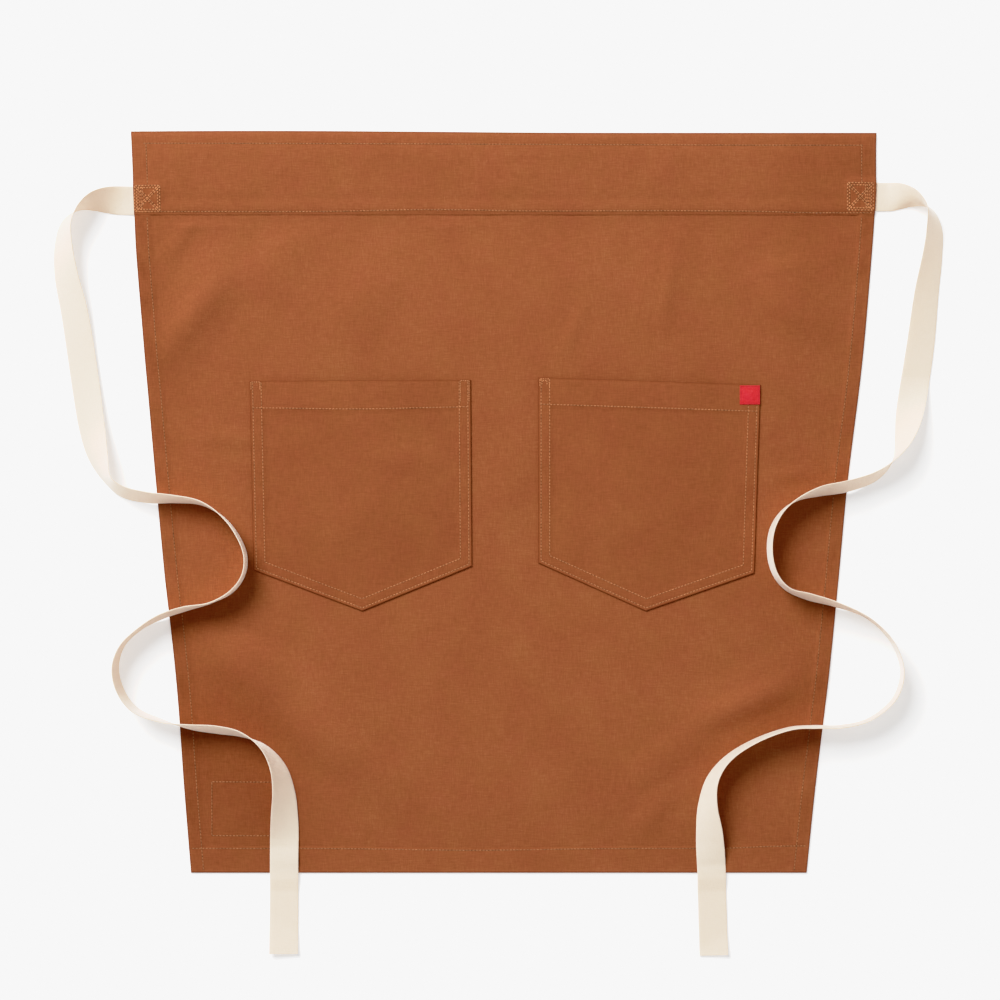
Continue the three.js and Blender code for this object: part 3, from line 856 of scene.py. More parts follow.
@dataclass
class Waistband:
    """Waistband folded double, top-stitched all round, with the ties' ends boxed in at both sides."""

    panel: Panel
    thickness: float = 2.2
    over_tuck: float = 1.2
    over_tie: float = 1.5
    pressed: float = 1.2
    air: float = 1.5
    top_rise: float = 2.0
    low_row: float = 3.2
    high_row: float = 11.0
    slant: float = 2.0
    end_row: float = 15.0
    ripple: Ripple = field(default_factory=lambda: Ripple(11, 0.16, 18, 70))

    def lift(self, x: Array, y: Array, tie_tops: dict[Side, float]) -> Array:
        """Height of the band's underside over what is tucked into it."""
        panel = self.panel
        over_tuck = 1 - ramp(y, panel.y_band + panel.tuck, panel.y_band + panel.tuck + 10)
        beside = 1 - ramp(panel.inset(x, y), panel.tie_sewn, panel.tie_sewn + 8)
        tie_top = np.where(np.asarray(x) < 0, tie_tops[Side.LEFT], tie_tops[Side.RIGHT])
        over_tie = beside * (1 - ramp(y - tie_top, 0, 7))
        return np.maximum(self.over_tuck * over_tuck, self.over_tie * over_tie)

    def wander(self, x: Array) -> Array:
        """How far the lower stitch row strays up from its usual line."""
        return 2.0 * groove(np.asarray(x, float) + 70, 75) + 0.9 * groove(x - 150, 110) - 1.2 * ramp(x, 250, 320)

    def bow(self, x: Array) -> Array:
        """How far the top edge rises, over its left half."""
        return self.top_rise * np.maximum(0, np.cos(math.pi * (x / self.panel.waist_width + 1 / 3))) ** 2

    def top(self, x: Array, y: Array) -> Array:
        """Height of the band's upper face.

        Args:
            x: points' x.
            y: points' y.

        Returns:
            Height over the surface.
        """
        panel = self.panel
        from_low, from_top = y - panel.y_band, panel.y_top + self.bow(x) - y
        side = panel.inset(x, y)
        edge = np.minimum(np.minimum(from_low, from_top), side)
        body = self.thickness - self.pressed * (1 - ramp(np.minimum(from_low, from_top), 0.5, 5.5))
        body -= 0.12 * groove(from_low - self.low_row - self.wander(x), 1.0)
        body -= 0.15 * groove(panel.y_top - y - self.high_row - self.slant * ramp(x, -365, 365), 1.1) * ramp(side, 10, 14)
        body -= 0.25 * groove(side - self.end_row, 1.1)
        pucker = 0.09 * np.sin(2 * math.pi * (x + 0.5 * from_low) / 11.0 + 1.4 * np.sin(x / 23.0))
        body += pucker * (1 - ramp(from_low, 3, 9)) + pucker * (1 - ramp(from_top, 12, 20))
        body += self.ripple(x, y) * ramp(edge, 3, 14)
        turned = rounded(np.minimum(from_top, side), 0.9, 0.4) * rounded(from_low, 0.6, 0.75)
        return self.under(x, y) + body * turned

    def under(self, x: Array, y: Array) -> Array:
        """Height of the band's underside: over what is tucked in, and raised a little where it creases."""
        panel = self.panel
        edge = np.minimum(np.minimum(y - panel.y_band, panel.y_top + self.bow(x) - y), panel.inset(x, y))
        hang = self.air * ramp(edge, 2, 26) + raised(x, y, BAND_CREASES) * ramp(edge, 3, 14)
        return self.lift(x, y, self.tie_tops) + (hang + np.sqrt(hang**2 + 0.04)) / 2 - 0.1

    def build(self, canvas: bpy.types.Material, thread: bpy.types.Material, tie_tops: dict[Side, float]) -> None:
        """Makes the band and its stitches.

        Args:
            canvas: its cloth.
            thread: its thread.
            tie_tops: upper edge of each tie's sewn end.
        """
        self.tie_tops = tie_tops
        panel = self.panel
        up = Stations(EDGE_INSETS, (0.0, 0.3, 0.9, 2.0, 4.5, 7.5, 9.8, 10.8, 11.5, 12.2, 13.2, 15.0), 2.4, panel.band_height)
        across = Stations(
            (0.0, 0.35, 0.9, 2.0, 4.5, 7.5, 10.5, 13.2, 14.3, 15.0, 15.7, 16.8, 19.0, 22.0, 25.0, 28.0),
            (0.0, 0.35, 0.9, 2.0, 4.5, 7.5, 10.5, 13.2, 14.3, 15.0, 15.7, 16.8, 19.0, 22.0, 25.0, 28.0),
            2.8,
            panel.waist_width,
        )
        rows = up.between(panel.y_band, panel.y_top)[0]
        x = across.between(panel.side_x(rows, Side.LEFT), panel.side_x(rows, Side.RIGHT))
        y = rows[:, None] + self.bow(x) * (rows[:, None] - panel.y_band) / panel.band_height
        side = panel.inset(x, y)
        edge = np.minimum(panel.y_top + self.bow(x) - y, side)
        # A dark line of painted shade along the rounded top and side edges, a little lighter just in from them, and
        # a faint painted shade along the lower fold
        shade_and_tone = 0.06 * groove(edge - 2.2, 1.4) - 0.5 * groove(edge, 0.9)
        shade_and_tone -= 0.05 * groove(y - panel.y_band - 0.6, 1.4)
        # Wide patches of painted shade
        shade_and_tone += raised(x, y, PAINTED_SHADE_PATCHES)
        band = sheet_piece("waistband_cloth", x, y, self.top(x, y), self.under(x, y))
        band.shade_and_tone(shade_and_tone).dress(canvas, "canvas")
        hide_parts("waistband")
        band.cloth(panel.waist_width, panel.band_height, Held.STRETCHED, ["panel_cloth"])
        low, *others = self.stitch_rows()
        Seam(faded=0.38).build("waistband_low_stitches", [low], self.top).dress(thread, "canvas")
        Seam(faded=0.5).build("waistband_stitches", others, self.top).dress(thread, "canvas")
        dense = Seam(pitch=3.3, length=3.1, width=1.5, height=0.5, faded=0.12)
        dense.build("tie_box_stitches", self.box_rows(), self.top).dress(thread, "canvas")

    def stitch_rows(self) -> list[Array]:
        """Lines of the band's own stitches.

        Returns:
            The lower row, the upper row and both end rows.
        """
        panel = self.panel
        low = panel.y_band + self.low_row
        ends = [float(panel.side_x(low, side)) - side.value * 2.5 for side in Side]
        x = np.linspace(-368.0, 366.5, 60)
        high = panel.y_top - self.high_row - self.slant * ramp(x, -365, 365)
        across = np.linspace(ends[0], ends[1], 90)
        rows = [np.column_stack([across, low + self.wander(across)]), np.column_stack([x, high])]
        for side in Side:
            y = np.linspace(panel.y_top - self.high_row - 1, panel.y_band + 32, 12)
            rows.append(np.column_stack([panel.side_x(y, side) - side.value * self.end_row, y]))
        return rows

    def box_rows(self) -> list[Array]:
        """Lines of the boxes with a cross that hold the ties.

        Returns:
            Sides, diagonals and the dense rows next to the apron's edge, on each side of the apron.
        """
        rows = []
        for side, left, right, low, high in (
            (Side.LEFT, -376.6, -350.9, 297.2, 323.6),
            (Side.RIGHT, 350.9, 377.4, 298.6, 326.4),
        ):
            middle = np.array([(left + right) / 2, (low + high) / 2])
            outer = np.array([(left, low), (right, low), (right, high), (left, high)])
            for shrink in (1.0, 0.84):
                corners = middle + (outer - middle) * shrink
                rows += [corners[[k, (k + 1) % 4]] for k in range(4)]
            for k in (0, 1):
                way = (outer[k + 2] - outer[k]) / np.linalg.norm(outer[k + 2] - outer[k])
                aside = np.array([-way[1], way[0]]) * 0.9
                rows += [outer[[k, k + 2]] + aside * sign for sign in (-1, 1)]
            edge = left if side is Side.LEFT else right
            for step in range(1, 4):
                x = edge - side.value * (1.0 + 2.1 * step)
                rows.append(np.array([[x, low + 0.6 * step], [x - side.value * 0.8, high - 0.4 * step]]))
        return rows


@dataclass
class PatchPocket:
    """Patch pocket with a pointed bottom, turned edges sewn twice and a double top hem."""

    name: str
    node: str
    panel: Panel
    left: float
    top_left: tuple[float, float]
    top_right: tuple[float, float]
    side_right: tuple[float, float]
    point: tuple[float, float]
    side_left: tuple[float, float]
    bars: tuple[tuple[float, float, float, float], ...]
    mouth: float = 125.4
    width: float = 227.0
    depth: float = 236.0
    hem: float = 28.3
    sag: float = 0.0
    turned: float = 13.0
    outer_row: float = 3.1
    inner_row: float = 11.8
    hollow: float = 3.0
    flank: float = 95.0
    cloth: float = 1.1
    folded: float = 0.55
    gap: float = 0.15
    ripple: Ripple = field(default_factory=lambda: Ripple(23, 0.2, 22, 80))

    def corner(self, at: tuple[float, float]) -> Array:
        """Place of a corner given as shares of width and depth."""
        return np.array([self.left + at[0] * self.width, self.mouth - at[1] * self.depth])

    @property
    def outline(self) -> Array:
        """Top left, side left, point, side right and top right corners."""
        return np.array([self.corner(c) for c in (self.top_left, self.side_left, self.point, self.side_right, self.top_right)])

    def insets(self, x: Array, y: Array) -> tuple[Array, Array]:
        """Distances in from the sewn edges and from the mouth.

        Args:
            x: points' x.
            y: points' y.

        Returns:
            Distance from the nearest of the four sewn edges, and from the mouth's edge.
        """
        ring = self.outline
        distances = []
        for a, b in zip(ring, np.roll(ring, -1, axis=0)):
            way = (b - a) / np.linalg.norm(b - a)
            distances.append((y - a[1]) * way[0] - (x - a[0]) * way[1])
        return np.minimum.reduce(distances[:4]), distances[4]

    def top(self, x: Array, y: Array) -> Array:
        """Height of the pocket's upper face.

        Args:
            x: points' x.
            y: points' y.

        Returns:
            Height over the surface.
        """
        sewn, mouth = self.insets(x, y)
        hem = self.hem_at(x)
        in_hem = 1 - ramp(mouth, hem - 0.3, hem + 1.3)
        turned = 1 - ramp(sewn, self.turned - 0.3, self.turned + 1.5)
        body = self.cloth + self.folded * np.maximum(in_hem, turned)
        body -= 0.2 * groove(sewn - self.outer_row, 0.9) + 0.16 * groove(sewn - self.inner_row, 1.0)
        body -= 0.15 * groove(mouth - hem + 1.0, 1.0) * ramp(sewn, 0, 3)
        body += 0.07 * np.sin(2 * math.pi * (x - y) / 9.0 + 1.2 * np.sin(y / 19.0)) * turned * ramp(sewn, 1, 4)
        wave = self.ripple(x, y) * ramp(sewn, 6, 26) * ramp(mouth, 0, 12)
        return self.under(x, y) + body * rounded(np.minimum(sewn, mouth), 0.9, 0.4) + wave

    def under(self, x: Array, y: Array) -> Array:
        """Height of the pocket's underside: on the panel where it is sewn, raised towards its middle."""
        sewn, _ = self.insets(x, y)
        on = self.panel.lie(x, y) + self.panel.cloth_thickness + self.gap
        return on + self.hollow * ramp(sewn, 6, self.flank)

    def build(self, canvas: bpy.types.Material, thread: bpy.types.Material) -> None:
        """Makes the pocket and its stitches.

        Args:
            canvas: its cloth.
            thread: its thread.
        """
        near = (0.0, 0.3, 0.9, 1.8, 2.5, 3.1, 3.7, 4.8, 7.0, 9.5, 11.0, 11.8, 12.6, 13.8, 15.5, 18.0)
        mouth_near = (0.0, 0.3, 0.9, 2.5, 6.0, 11.0, 17.0, 22.0, 24.6, 25.5, 26.2, 27.0, 28.2, 30.5)
        half = Stations(near, (0.0, 2.6), 2.6, self.width / 2, 2).between(0.0, self.width / 2)[0] / self.width
        u = np.concatenate([half, 1 - half[-2::-1]])[None, :]
        v = Stations(mouth_near, near, 2.6, 0.95 * self.depth).between(0.0, 0.91 * self.depth)[0][:, None] / (0.91 * self.depth)
        v = v[::-1]
        top_left, side_left, point, side_right, top_right = self.outline
        first = u[..., None] < 0.5
        low = np.where(
            first,
            side_left + (point - side_left) * 2 * u[..., None],
            point + (side_right - point) * (2 * u[..., None] - 1),
        )
        high = top_left + (top_right - top_left) * u[..., None]
        place = high + (low - high) * v[..., None]
        x, y = place[..., 0], place[..., 1]
        sewn, mouth = self.insets(x, y)
        edge = np.minimum(sewn, mouth)
        # A dark line of painted shade round the rounded edges and painted shade just past the turned edges' step;
        # the pocket is also a little lighter just in from its edges and a little darker overall
        shade_and_tone = 0.06 * groove(edge - 1.8, 1.0) - 0.6 * groove(edge, 0.9) - 0.05 * groove(sewn - self.turned - 0.6, 1.4) - 0.08
        # Painted shade just below the top hem's step
        shade_and_tone -= 0.06 * groove(mouth - self.hem_at(x) - 1.2, 1.6) * ramp(sewn, 0, 4)
        # Wide patches of painted shade
        shade_and_tone += raised(x, y, PAINTED_SHADE_PATCHES)
        patch = sheet_piece(self.name, x, y, self.top(x, y), self.under(x, y))
        patch.shade_and_tone(shade_and_tone).dress(canvas, "canvas")
        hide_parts(self.node)
        corners = self.outline
        area = 0.5 * abs(np.dot(corners[:, 0], np.roll(corners[:, 1], -1)) - np.dot(corners[:, 1], np.roll(corners[:, 0], -1)))
        patch.cloth(self.width, 1.01 * self.depth, Held.LAID, ["panel_cloth"], area)
        Seam(3.4, 3.2, 1.15, 0.36, faded=0.22).build(self.name + "_stitches", self.stitch_rows(), self.top).dress(thread, "canvas")
        dense = Seam(2.2, 2.1, 1.1, 0.4)
        dense.build(self.name + "_bar_tacks", self.bar_rows(), self.top).dress(thread, "canvas")

    def along(self, inset: float) -> Array:
        """Line at an inset from the sewn edges, from one end of the mouth round to the other.

        Args:
            inset: distance in from the edges.

        Returns:
            Corners of the line.
        """
        ring = self.outline
        lines = []
        for a, b in zip(ring[:-1], ring[1:]):
            way = (b - a) / np.linalg.norm(b - a)
            lines.append((a + np.array([-way[1], way[0]]) * inset, way))
        corners = [lines[0][0] + lines[0][1] * 1.5]
        for (a, way), (b, other) in zip(lines[:-1], lines[1:]):
            t = np.linalg.solve(np.column_stack([way, -other]), b - a)[0]
            corners.append(a + way * t)
        last, way = lines[-1]
        corners.append(last + way * (np.linalg.norm(ring[4] - ring[3]) - 1.5))
        return np.array(corners)

    def hem_at(self, x: Array) -> Array:
        """Depth of the top hem, which sags a little between its ends."""
        return self.hem + self.sag * groove(x - self.left - self.width / 2, self.width / 3)

    def stitch_rows(self) -> list[Array]:
        """Lines of the pocket's stitches.

        Returns:
            Outer and inner rows along the sewn edges, side by side, and the row of the top hem.
        """
        rows = []
        for inset in (self.outer_row, self.inner_row):
            corners = self.along(inset)
            rows += [corners[k : k + 2] for k in range(len(corners) - 1)]
        start, end = self.corner(self.top_left), self.corner(self.top_right)
        way = (end - start) / np.linalg.norm(end - start)
        line = start + (end - start) * np.linspace(0.01, 0.99, 30)[:, None]
        rows.append(line + np.array([way[1], -way[0]]) * (self.hem_at(line[:, 0]) - 1.0)[:, None])
        return rows

    def bar_rows(self) -> list[Array]:
        """Lines of the small stitched boxes at the mouth's corners."""
        rows = []
        for left, right, low, high in self.bars:
            corners = np.array([(left, low), (left, high), (right, high), (right, low)])
            rows += [corners[k : k + 2] for k in range(3)]
        return rows


@dataclass
class WovenTab:
    """Small bare red woven tab, sewn on the corner of a pocket."""

    pocket: PatchPocket
    right: float = 261.25
    high: float = 119.6
    width: float = 20.6
    height: float = 19.5
    thickness: float = 0.8
    row: float = 1.3

    def top(self, x: Array, y: Array) -> Array:
        """Height of the tab's upper face."""
        low_x, low_y = self.right - self.width, self.high - self.height
        edge = np.minimum(np.minimum(x - low_x, self.right - x), np.minimum(y - low_y, self.high - y))
        body = self.thickness * rounded(edge, 0.6, 0.4) - 0.2 * groove(edge - self.row, 0.6)
        return self.seat(x, y) + body + 0.35 * ramp(edge, 1.5, 8)

    def seat(self, x: Array, y: Array) -> Array:
        """Height of the pocket under the tab."""
        sewn, _ = self.pocket.insets(x, y)
        return self.pocket.under(x, y) + self.pocket.cloth + self.pocket.folded + 0.1 - 0.1 * (1 - ramp(sewn, 0, 2))

    def build(self, label: bpy.types.Material, thread: bpy.types.Material) -> None:
        """Makes the tab and the thread round it.

        Args:
            label: its cloth.
            thread: its thread.
        """
        near = (0.0, 0.2, 0.6, 1.0, 1.3, 1.6, 2.2)
        u = Stations(near, near, 0.8, self.width).between(self.right - self.width, self.right)[0]
        v = Stations(near, near, 0.8, self.height).between(self.high - self.height, self.high)[0]
        x, y = np.meshgrid(u, v)
        tab = sheet_piece("tab_cloth", x, y, self.top(x, y), self.seat(x, y)).shade_and_tone(np.zeros(x.shape))
        tab.dress(label, "tab_weave")
        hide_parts("pocket_tab")
        tab.cloth(self.width, self.height, Held.LAID, [self.pocket.name])
        low_x, low_y = self.right - self.width + self.row, self.high - self.height + self.row
        high_x, high_y = self.right - self.row, self.high - self.row
        corners = np.array([(low_x, low_y), (high_x, low_y), (high_x, high_y), (low_x, high_y), (low_x, low_y)])
        rows = [corners[k : k + 2] for k in range(4)]
        Seam(1.9, 1.5, 0.5, 0.22).build("tab_stitches", rows, self.top).dress(thread, "tab_weave")


@dataclass
class TapeTie:
    """Cotton tape tie, sewn under the waistband, lying partly on edge in loose loops."""

    WEAVE_MAP = "tape_weave"

    name: str
    node: str
    side: Side
    panel: Panel
    seat: float
    stops: Sequence[TapeStop]
    width: float = 29.0
    thickness: float = 1.2
    length: float = 1138.0
    sewn: float = 26.0
    step: float = 2.0
    reach: float = 8.0
    slope: float = 0.16
    clearance: float = 0.2
    crease: float = 30.0
    crease_slant: float = 0.0
    curl: float = 0.0

    @property
    def y(self) -> float:
        """Height of the sewn end's middle line."""
        return self.panel.y_band + self.seat + self.width / 2

    def route(self) -> tuple[Array, Array, Array]:
        """Follows the run at even steps.

        Returns:
            Centres in the plane, forward directions and rolls in radians.
        """
        half, apron = self.panel.half_waist, self.panel.length
        points = [[float(self.panel.side_x(self.y, self.side)) - self.side.value * self.sewn, self.y]]
        points += [[self.side.value * s.out * half, self.y - s.down * apron] for s in self.stops]
        rolls = np.array([0.0, *[s.roll for s in self.stops]])
        line = np.array(points)
        guide = np.vstack([2 * line[0] - line[1], line, 2 * line[-1] - line[-2]])
        fine, places, finer = [], [], 80
        for k in range(len(line) - 1):
            p0, p1, p2, p3 = guide[k : k + 4]
            d0, d1, d2 = (math.sqrt(np.linalg.norm(b - a)) for a, b in ((p0, p1), (p1, p2), (p2, p3)))
            t1 = ((p1 - p0) / d0 - (p2 - p0) / (d0 + d1) + (p2 - p1) / d1) * d1
            t2 = ((p2 - p1) / d1 - (p3 - p1) / (d1 + d2) + (p3 - p2) / d2) * d1
            t = np.arange(finer + (k == len(line) - 2))[:, None] / finer
            fine.append(p1 + t1 * t + (-3 * p1 + 3 * p2 - 2 * t1 - t2) * t**2 + (2 * p1 - 2 * p2 + t1 + t2) * t**3)
            places.append(k + t[:, 0])
        fine, places = np.vstack(fine), np.concatenate(places)
        tail = fine[-1] - fine[-2]
        along = np.concatenate([[0], np.cumsum(np.linalg.norm(np.diff(fine, axis=0), axis=1))])
        if along[-1] < self.length:
            fine = np.vstack([fine, fine[-1] + tail / np.linalg.norm(tail) * (self.length - along[-1])])
            places, along = np.append(places, places[-1]), np.append(along, self.length)
        at = np.linspace(0, self.length, round(self.length / self.step) + 1)
        centre = np.column_stack([np.interp(at, along, fine[:, k]) for k in (0, 1)])
        forward = np.gradient(centre, axis=0)
        forward /= np.linalg.norm(forward, axis=1, keepdims=True)
        roll = -self.side.value * np.radians(catmull(rolls, np.interp(at, along, places)))
        return centre, forward, roll

    def build(self, tape: bpy.types.Material) -> None:
        """Makes the tape.

        Args:
            tape: its cloth.
        """
        centre, forward, roll = self.route()
        count = len(centre)
        across = np.column_stack([-forward[:, 1] * np.cos(roll), forward[:, 0] * np.cos(roll), np.sin(roll)])
        ahead = np.column_stack([forward, np.zeros(count)])
        through = np.cross(ahead, across)
        shares = np.array([-1, -0.95, -0.8, -0.4, 0, 0.4, 0.8, 0.95, 1.0])
        edge = np.where(np.abs(shares) > 0.99, 0.6, 1.0)

        def layer(sign: float) -> Array:
            """One face of the tape before it is seated, sections by shares."""
            flat = np.column_stack([centre, np.zeros(count)])[:, None, :]
            sideways = across[:, None, :] * shares[None, :, None] * self.width / 2
            return flat + sideways + through[:, None, :] * (sign * edge * self.thickness / 2)[None, :, None]

        faces_up, faces_down = layer(1.0), layer(-1.0)
        both = np.concatenate([faces_up, faces_down], axis=1)
        lowest = both[..., 2].min(axis=1)
        support = np.maximum(0, self.panel.top(both[..., 0], both[..., 1]) + self.clearance)
        support = np.where(self.panel.inset(both[..., 0], both[..., 1]) > -0.5, support, 0)
        needs = (support - both[..., 2] + lowest[:, None]).max(axis=1)
        at = np.arange(count) * self.length / (count - 1)
        away = np.maximum(0, np.abs(at[:, None] - at[None, :]) - self.reach)
        seats = (needs[None, :] - self.slope * away).max(axis=1)
        lift = (seats - lowest)[:, None]

        # The free end turns up slightly past a slanting crease
        past = at[:, None] - (self.length - self.crease) - self.crease_slant * shares[None, :] * self.width / 2
        curled = self.curl * np.clip(past / self.crease, 0, None) ** 1.05
        faces_up[..., 2] += lift + curled
        faces_down[..., 2] += lift + curled
        ring = np.concatenate([faces_up, faces_down[:, ::-1]], axis=1)
        size = ring.shape[1]
        index = np.arange(count * size).reshape(count, size)
        after = np.roll(index, -1, axis=1)
        quads = np.stack([index[:-1], index[1:], after[1:], after[:-1]], axis=-1).reshape(-1, 4)
        faces = quads.tolist() + [index[0].tolist(), index[-1][::-1].tolist()]
        piece = Piece(self.name, ring.reshape(-1, 3), faces, 50.0)
        mesh = piece.thing.data
        sideways = np.concatenate([shares, shares[::-1]]) * self.width / 2 * MM
        weave = np.stack(np.broadcast_arrays(sideways[None, :], at[:, None] * MM), axis=-1).reshape(-1, 2)
        corners = np.empty(len(mesh.loops), np.int32)
        mesh.loops.foreach_get("vertex_index", corners)
        mesh.uv_layers.new(name=self.WEAVE_MAP).uv.foreach_set("vector", weave[corners].astype(np.float32).ravel())
        piece.shade_and_tone(np.zeros(0)).dress(tape, "cotton_tape")
        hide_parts(self.node)
        piece.cloth(self.width, self.length, Held.LAID, ["panel_cloth"])


LEFT_STOPS = tuple(
    TapeStop(*row)
    for row in (
        (1.0, 0.0, 0),
        (1.036, 0.0001, -13),
        (1.067, 0.0009, -34),
        (1.1, 0.0046, -60),
        (1.139, 0.0146, -96),
        (1.168, 0.0336, -121),
        (1.176, 0.0631, -138),
        (1.17, 0.1011, -153),
        (1.15, 0.1501, -167),
        (1.132, 0.2081, -174),
        (1.117, 0.2601, -172),
        (1.102, 0.3071, -163),
        (1.084, 0.3446, -143),
        (1.056, 0.3771, -114),
        (1.02, 0.3926, -115),
        (0.95, 0.4011, -113),
        (0.88, 0.4031, -106),
        (0.81, 0.4081, -99),
        (0.759, 0.4226, -94),
        (0.715, 0.4471, -91),
        (0.688, 0.4791, -90),
        (0.694, 0.5061, -89),
        (0.726, 0.5276, -87),
        (0.782, 0.5426, -88),
        (0.85, 0.5506, -80),
        (0.915, 0.5616, -80),
        (0.972, 0.5781, -86),
        (1.018, 0.6006, -87),
        (1.036, 0.6286, -85),
        (1.024, 0.6596, -84),
        (0.985, 0.6861, -86),
        (0.915, 0.7011, -90),
        (0.835, 0.7096, -105),
        (0.765, 0.7131, -111),
        (0.7, 0.7191, -105),
        (0.64, 0.7361, -86),
        (0.601, 0.7651, -63),
        (0.587, 0.7981, -44),
        (0.586, 0.8321, -24),
        (0.588, 0.8731, 0),
        (0.5885, 0.9181, 0),
    )
)
RIGHT_STOPS = tuple(
    TapeStop(*row)
    for row in (
        (1.0, 0.0, 0),
        (1.032, 0.0002, -6),
        (1.062, 0.001, -32),
        (1.096, 0.0055, -64),
        (1.135, 0.0187, -108),
        (1.15, 0.0432, -132),
        (1.147, 0.0752, -141),
        (1.132, 0.1292, -156),
        (1.1175, 0.1982, -172),
        (1.101, 0.2552, -183),
        (1.087, 0.2902, -206),
        (1.07, 0.3232, -236),
        (1.042, 0.3552, -273),
        (0.994, 0.3772, -290),
        (0.915, 0.3912, -294),
        (0.845, 0.3977, -290),
        (0.785, 0.4082, -277),
        (0.742, 0.4247, -271),
        (0.714, 0.4502, -267),
        (0.709, 0.4842, -266),
        (0.725, 0.5112, -266),
        (0.757, 0.5292, -264),
        (0.815, 0.5397, -256),
        (0.885, 0.5497, -260),
        (0.975, 0.5692, -268),
        (1.038, 0.6017, -270),
        (1.063, 0.6392, -271),
        (1.044, 0.6752, -272),
        (0.977, 0.7042, -272),
        (0.9, 0.7142, -270),
        (0.83, 0.7142, -270),
        (0.765, 0.7162, -271),
        (0.67, 0.7327, -269),
        (0.595, 0.7572, -264),
        (0.556, 0.7852, -252),
        (0.544, 0.8202, -233),
        (0.55, 0.8612, -204),
        (0.556, 0.9032, -180),
        (0.5585, 0.9432, -180),
    )
)


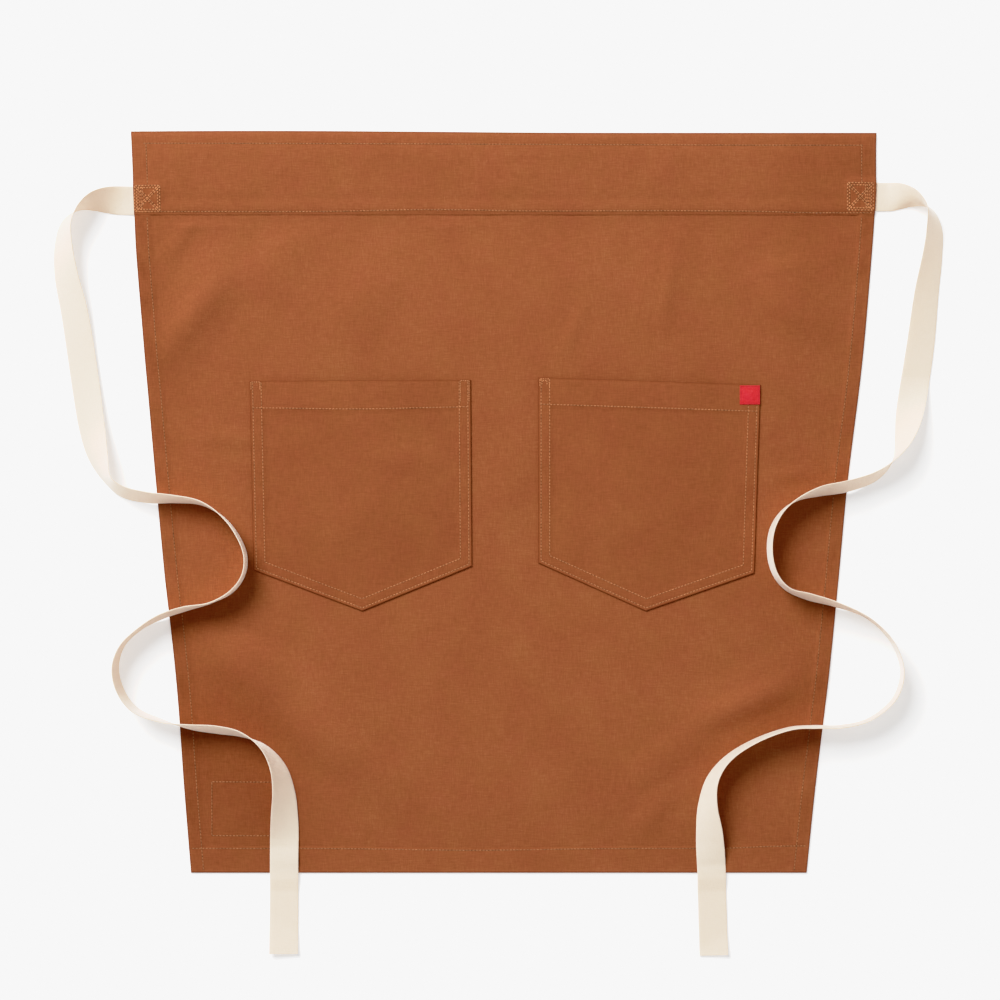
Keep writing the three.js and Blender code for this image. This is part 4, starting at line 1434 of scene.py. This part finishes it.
@dataclass
class Studio:
    """Pale floor, one soft light from the upper left, even light from all round, and the camera overhead."""

    distance: float = 2.45
    frame_width: float = 1.0221
    centre: tuple[float, float] = (-0.0038, 0.0028)
    light_from: tuple[float, float, float] = (-0.439, 0.577, 0.688)
    light_distance: float = 7.0
    light_size: float = 3.8
    key: float = 0.99
    fill: float = 0.28
    walls: float = 1.9
    bounce: float = 0.45
    floor_size: float = 60.0
    sensor: float = 36.0
    # Scene light and shown light: slightly deep shadows, even mid tones, then level at the paper's near white
    shown: tuple[tuple[float, float], ...] = (
        (0.0, 0.0),
        (0.015, 0.002),
        (0.03, 0.011),
        (0.05, 0.03),
        (0.1, 0.08),
        (0.3, 0.28),
        (0.6, 0.58),
        (0.75, 0.7),
        (0.9, 0.78),
        (1.05, 0.835),
        (1.25, 0.885),
        (1.4, 0.93),
        (1.6, 0.93),
    )

    def build(self, paper: bpy.types.Material) -> None:
        """Sets the floor, the light and the camera.

        Args:
            paper: the floor's material.
        """
        scene = bpy.context.scene
        self.expose(scene.view_settings)
        world = bpy.data.worlds.new("light_all_round")
        world.use_nodes = True
        background = world.node_tree.nodes["Background"]
        background.inputs["Color"].default_value = (1.0, 1.0, 1.0, 1.0)
        tree = world.node_tree
        way = add_node(tree, "TexCoord").outputs["Generated"]
        height = add_node(tree, "SeparateXYZ", {}, Vector=way).outputs["Z"]
        low = add_node(tree, "Math", {"operation": "SUBTRACT", 0: 1.0, "use_clamp": True}, in1=height).outputs[0]
        edge = add_node(tree, "Math", {"operation": "POWER", 1: 3.0}, in0=low).outputs[0]
        far = [-self.bounce * c / math.hypot(*self.light_from[:2]) for c in self.light_from[:2]]
        turned = add_node(tree, "VectorMath", {"operation": "DOT_PRODUCT", 1: (*far, 0.0)}, in0=way).outputs["Value"]
        wall = add_node(tree, "Math", {"operation": "MULTIPLY_ADD", 1: self.walls, 2: self.walls}, in0=turned).outputs[0]
        strength = add_node(
            tree, "Math", {"operation": "MULTIPLY_ADD", 2: self.fill}, in0=edge, in1=wall
        ).outputs[0]
        tree.links.new(strength, background.inputs["Strength"])
        scene.world = world

        light = bpy.data.lights.new("softbox", "AREA")
        light.shape = "DISK"
        light.size = self.light_size
        light.energy = self.key * math.pi**2 * self.light_distance**2 / self.light_from[2]
        lamp = bpy.data.objects.new("softbox", light)
        lamp.location = [c * self.light_distance for c in self.light_from]
        towards = Vector([-c for c in self.light_from])
        lamp.rotation_euler = towards.to_track_quat("-Z", "Y").to_euler()
        scene.collection.objects.link(lamp)

        half = self.floor_size / 2 / MM
        corners = np.array([(-half, -half, -0.2), (half, -half, -0.2), (half, half, -0.2), (-half, half, -0.2)])
        floor = Piece("floor", corners, [[0, 1, 2, 3]]).thing
        floor.data.materials.append(paper)

        camera = bpy.data.objects.new("overhead_camera", bpy.data.cameras.new("overhead_camera"))
        camera.data.sensor_width = self.sensor
        camera.data.lens = self.sensor * self.distance / self.frame_width
        camera.location = (*self.centre, self.distance)
        scene.collection.objects.link(camera)
        scene.camera = camera
        log.info("studio: camera %.2f m up, lens %.1f mm", self.distance, camera.data.lens)

    def expose(self, view: bpy.types.ColorManagedViewSettings) -> None:
        """Shows light as a print does: deep shadows, and a soft shoulder that holds the paper just under white.

        Args:
            view: the scene's view settings.
        """
        view.view_transform = "Standard"
        view.use_curve_mapping = True
        mapping = view.curve_mapping
        mapping.clip_max_x = mapping.clip_max_y = self.shown[-1][0]
        mapping.extend = "EXTRAPOLATED"
        curve = mapping.curves[3]
        curve.points[0].location, curve.points[1].location = self.shown[0], self.shown[-1]
        for stop in self.shown[1:-1]:
            curve.points.new(*stop)
        for point in curve.points:
            point.handle_type = "AUTO_CLAMPED"
        mapping.update()


def main() -> None:
    """Builds the apron piece by piece, then the studio."""
    canvas, tape, label = CANVAS.material(), TAPE.material(), LABEL.material()
    thread, red_thread = THREAD.material(), RED_THREAD.material()
    panel = Panel()
    panel.build(canvas, thread)
    left_tie = TapeTie("tie_left_tape", "tie_left", Side.LEFT, panel, 0.1, LEFT_STOPS, crease_slant=0.6, curl=3.6)
    right_tie = TapeTie("tie_right_tape", "tie_right", Side.RIGHT, panel, 3.9, RIGHT_STOPS, crease=14.0, crease_slant=0.6, curl=1.5)
    tops = {tie.side: tie.y + tie.width / 2 for tie in (left_tie, right_tie)}
    Waistband(panel).build(canvas, thread, tops)
    left = PatchPocket(
        "pocket_left_cloth",
        "pocket_left",
        panel,
        -259.25,
        (0.0, 0.005),
        (0.994, 0.0),
        (1.0, 0.806),
        (0.506, 1.0),
        (0.018, 0.823),
        ((-257.6, -248.4, 115.2, 123.0), (-44.2, -35.4, 103.0, 124.4)),
        sag=2.0,
    )
    right = PatchPocket(
        "pocket_right_cloth",
        "pocket_right",
        panel,
        35.05,
        (0.0, -0.011),
        (1.0, 0.021),
        (0.972, 0.836),
        (0.483, 1.0),
        (0.0, 0.792),
        ((37.0, 46.6, 118.6, 126.2), (39.2, 44.2, 120.4, 124.4)),
    )
    for pocket in (left, right):
        pocket.build(canvas, thread)
    WovenTab(right).build(label, red_thread)
    for tie in (left_tie, right_tie):
        tie.build(tape)
    Studio().build(PAPER.material())


if __name__ == "__main__":
    main()
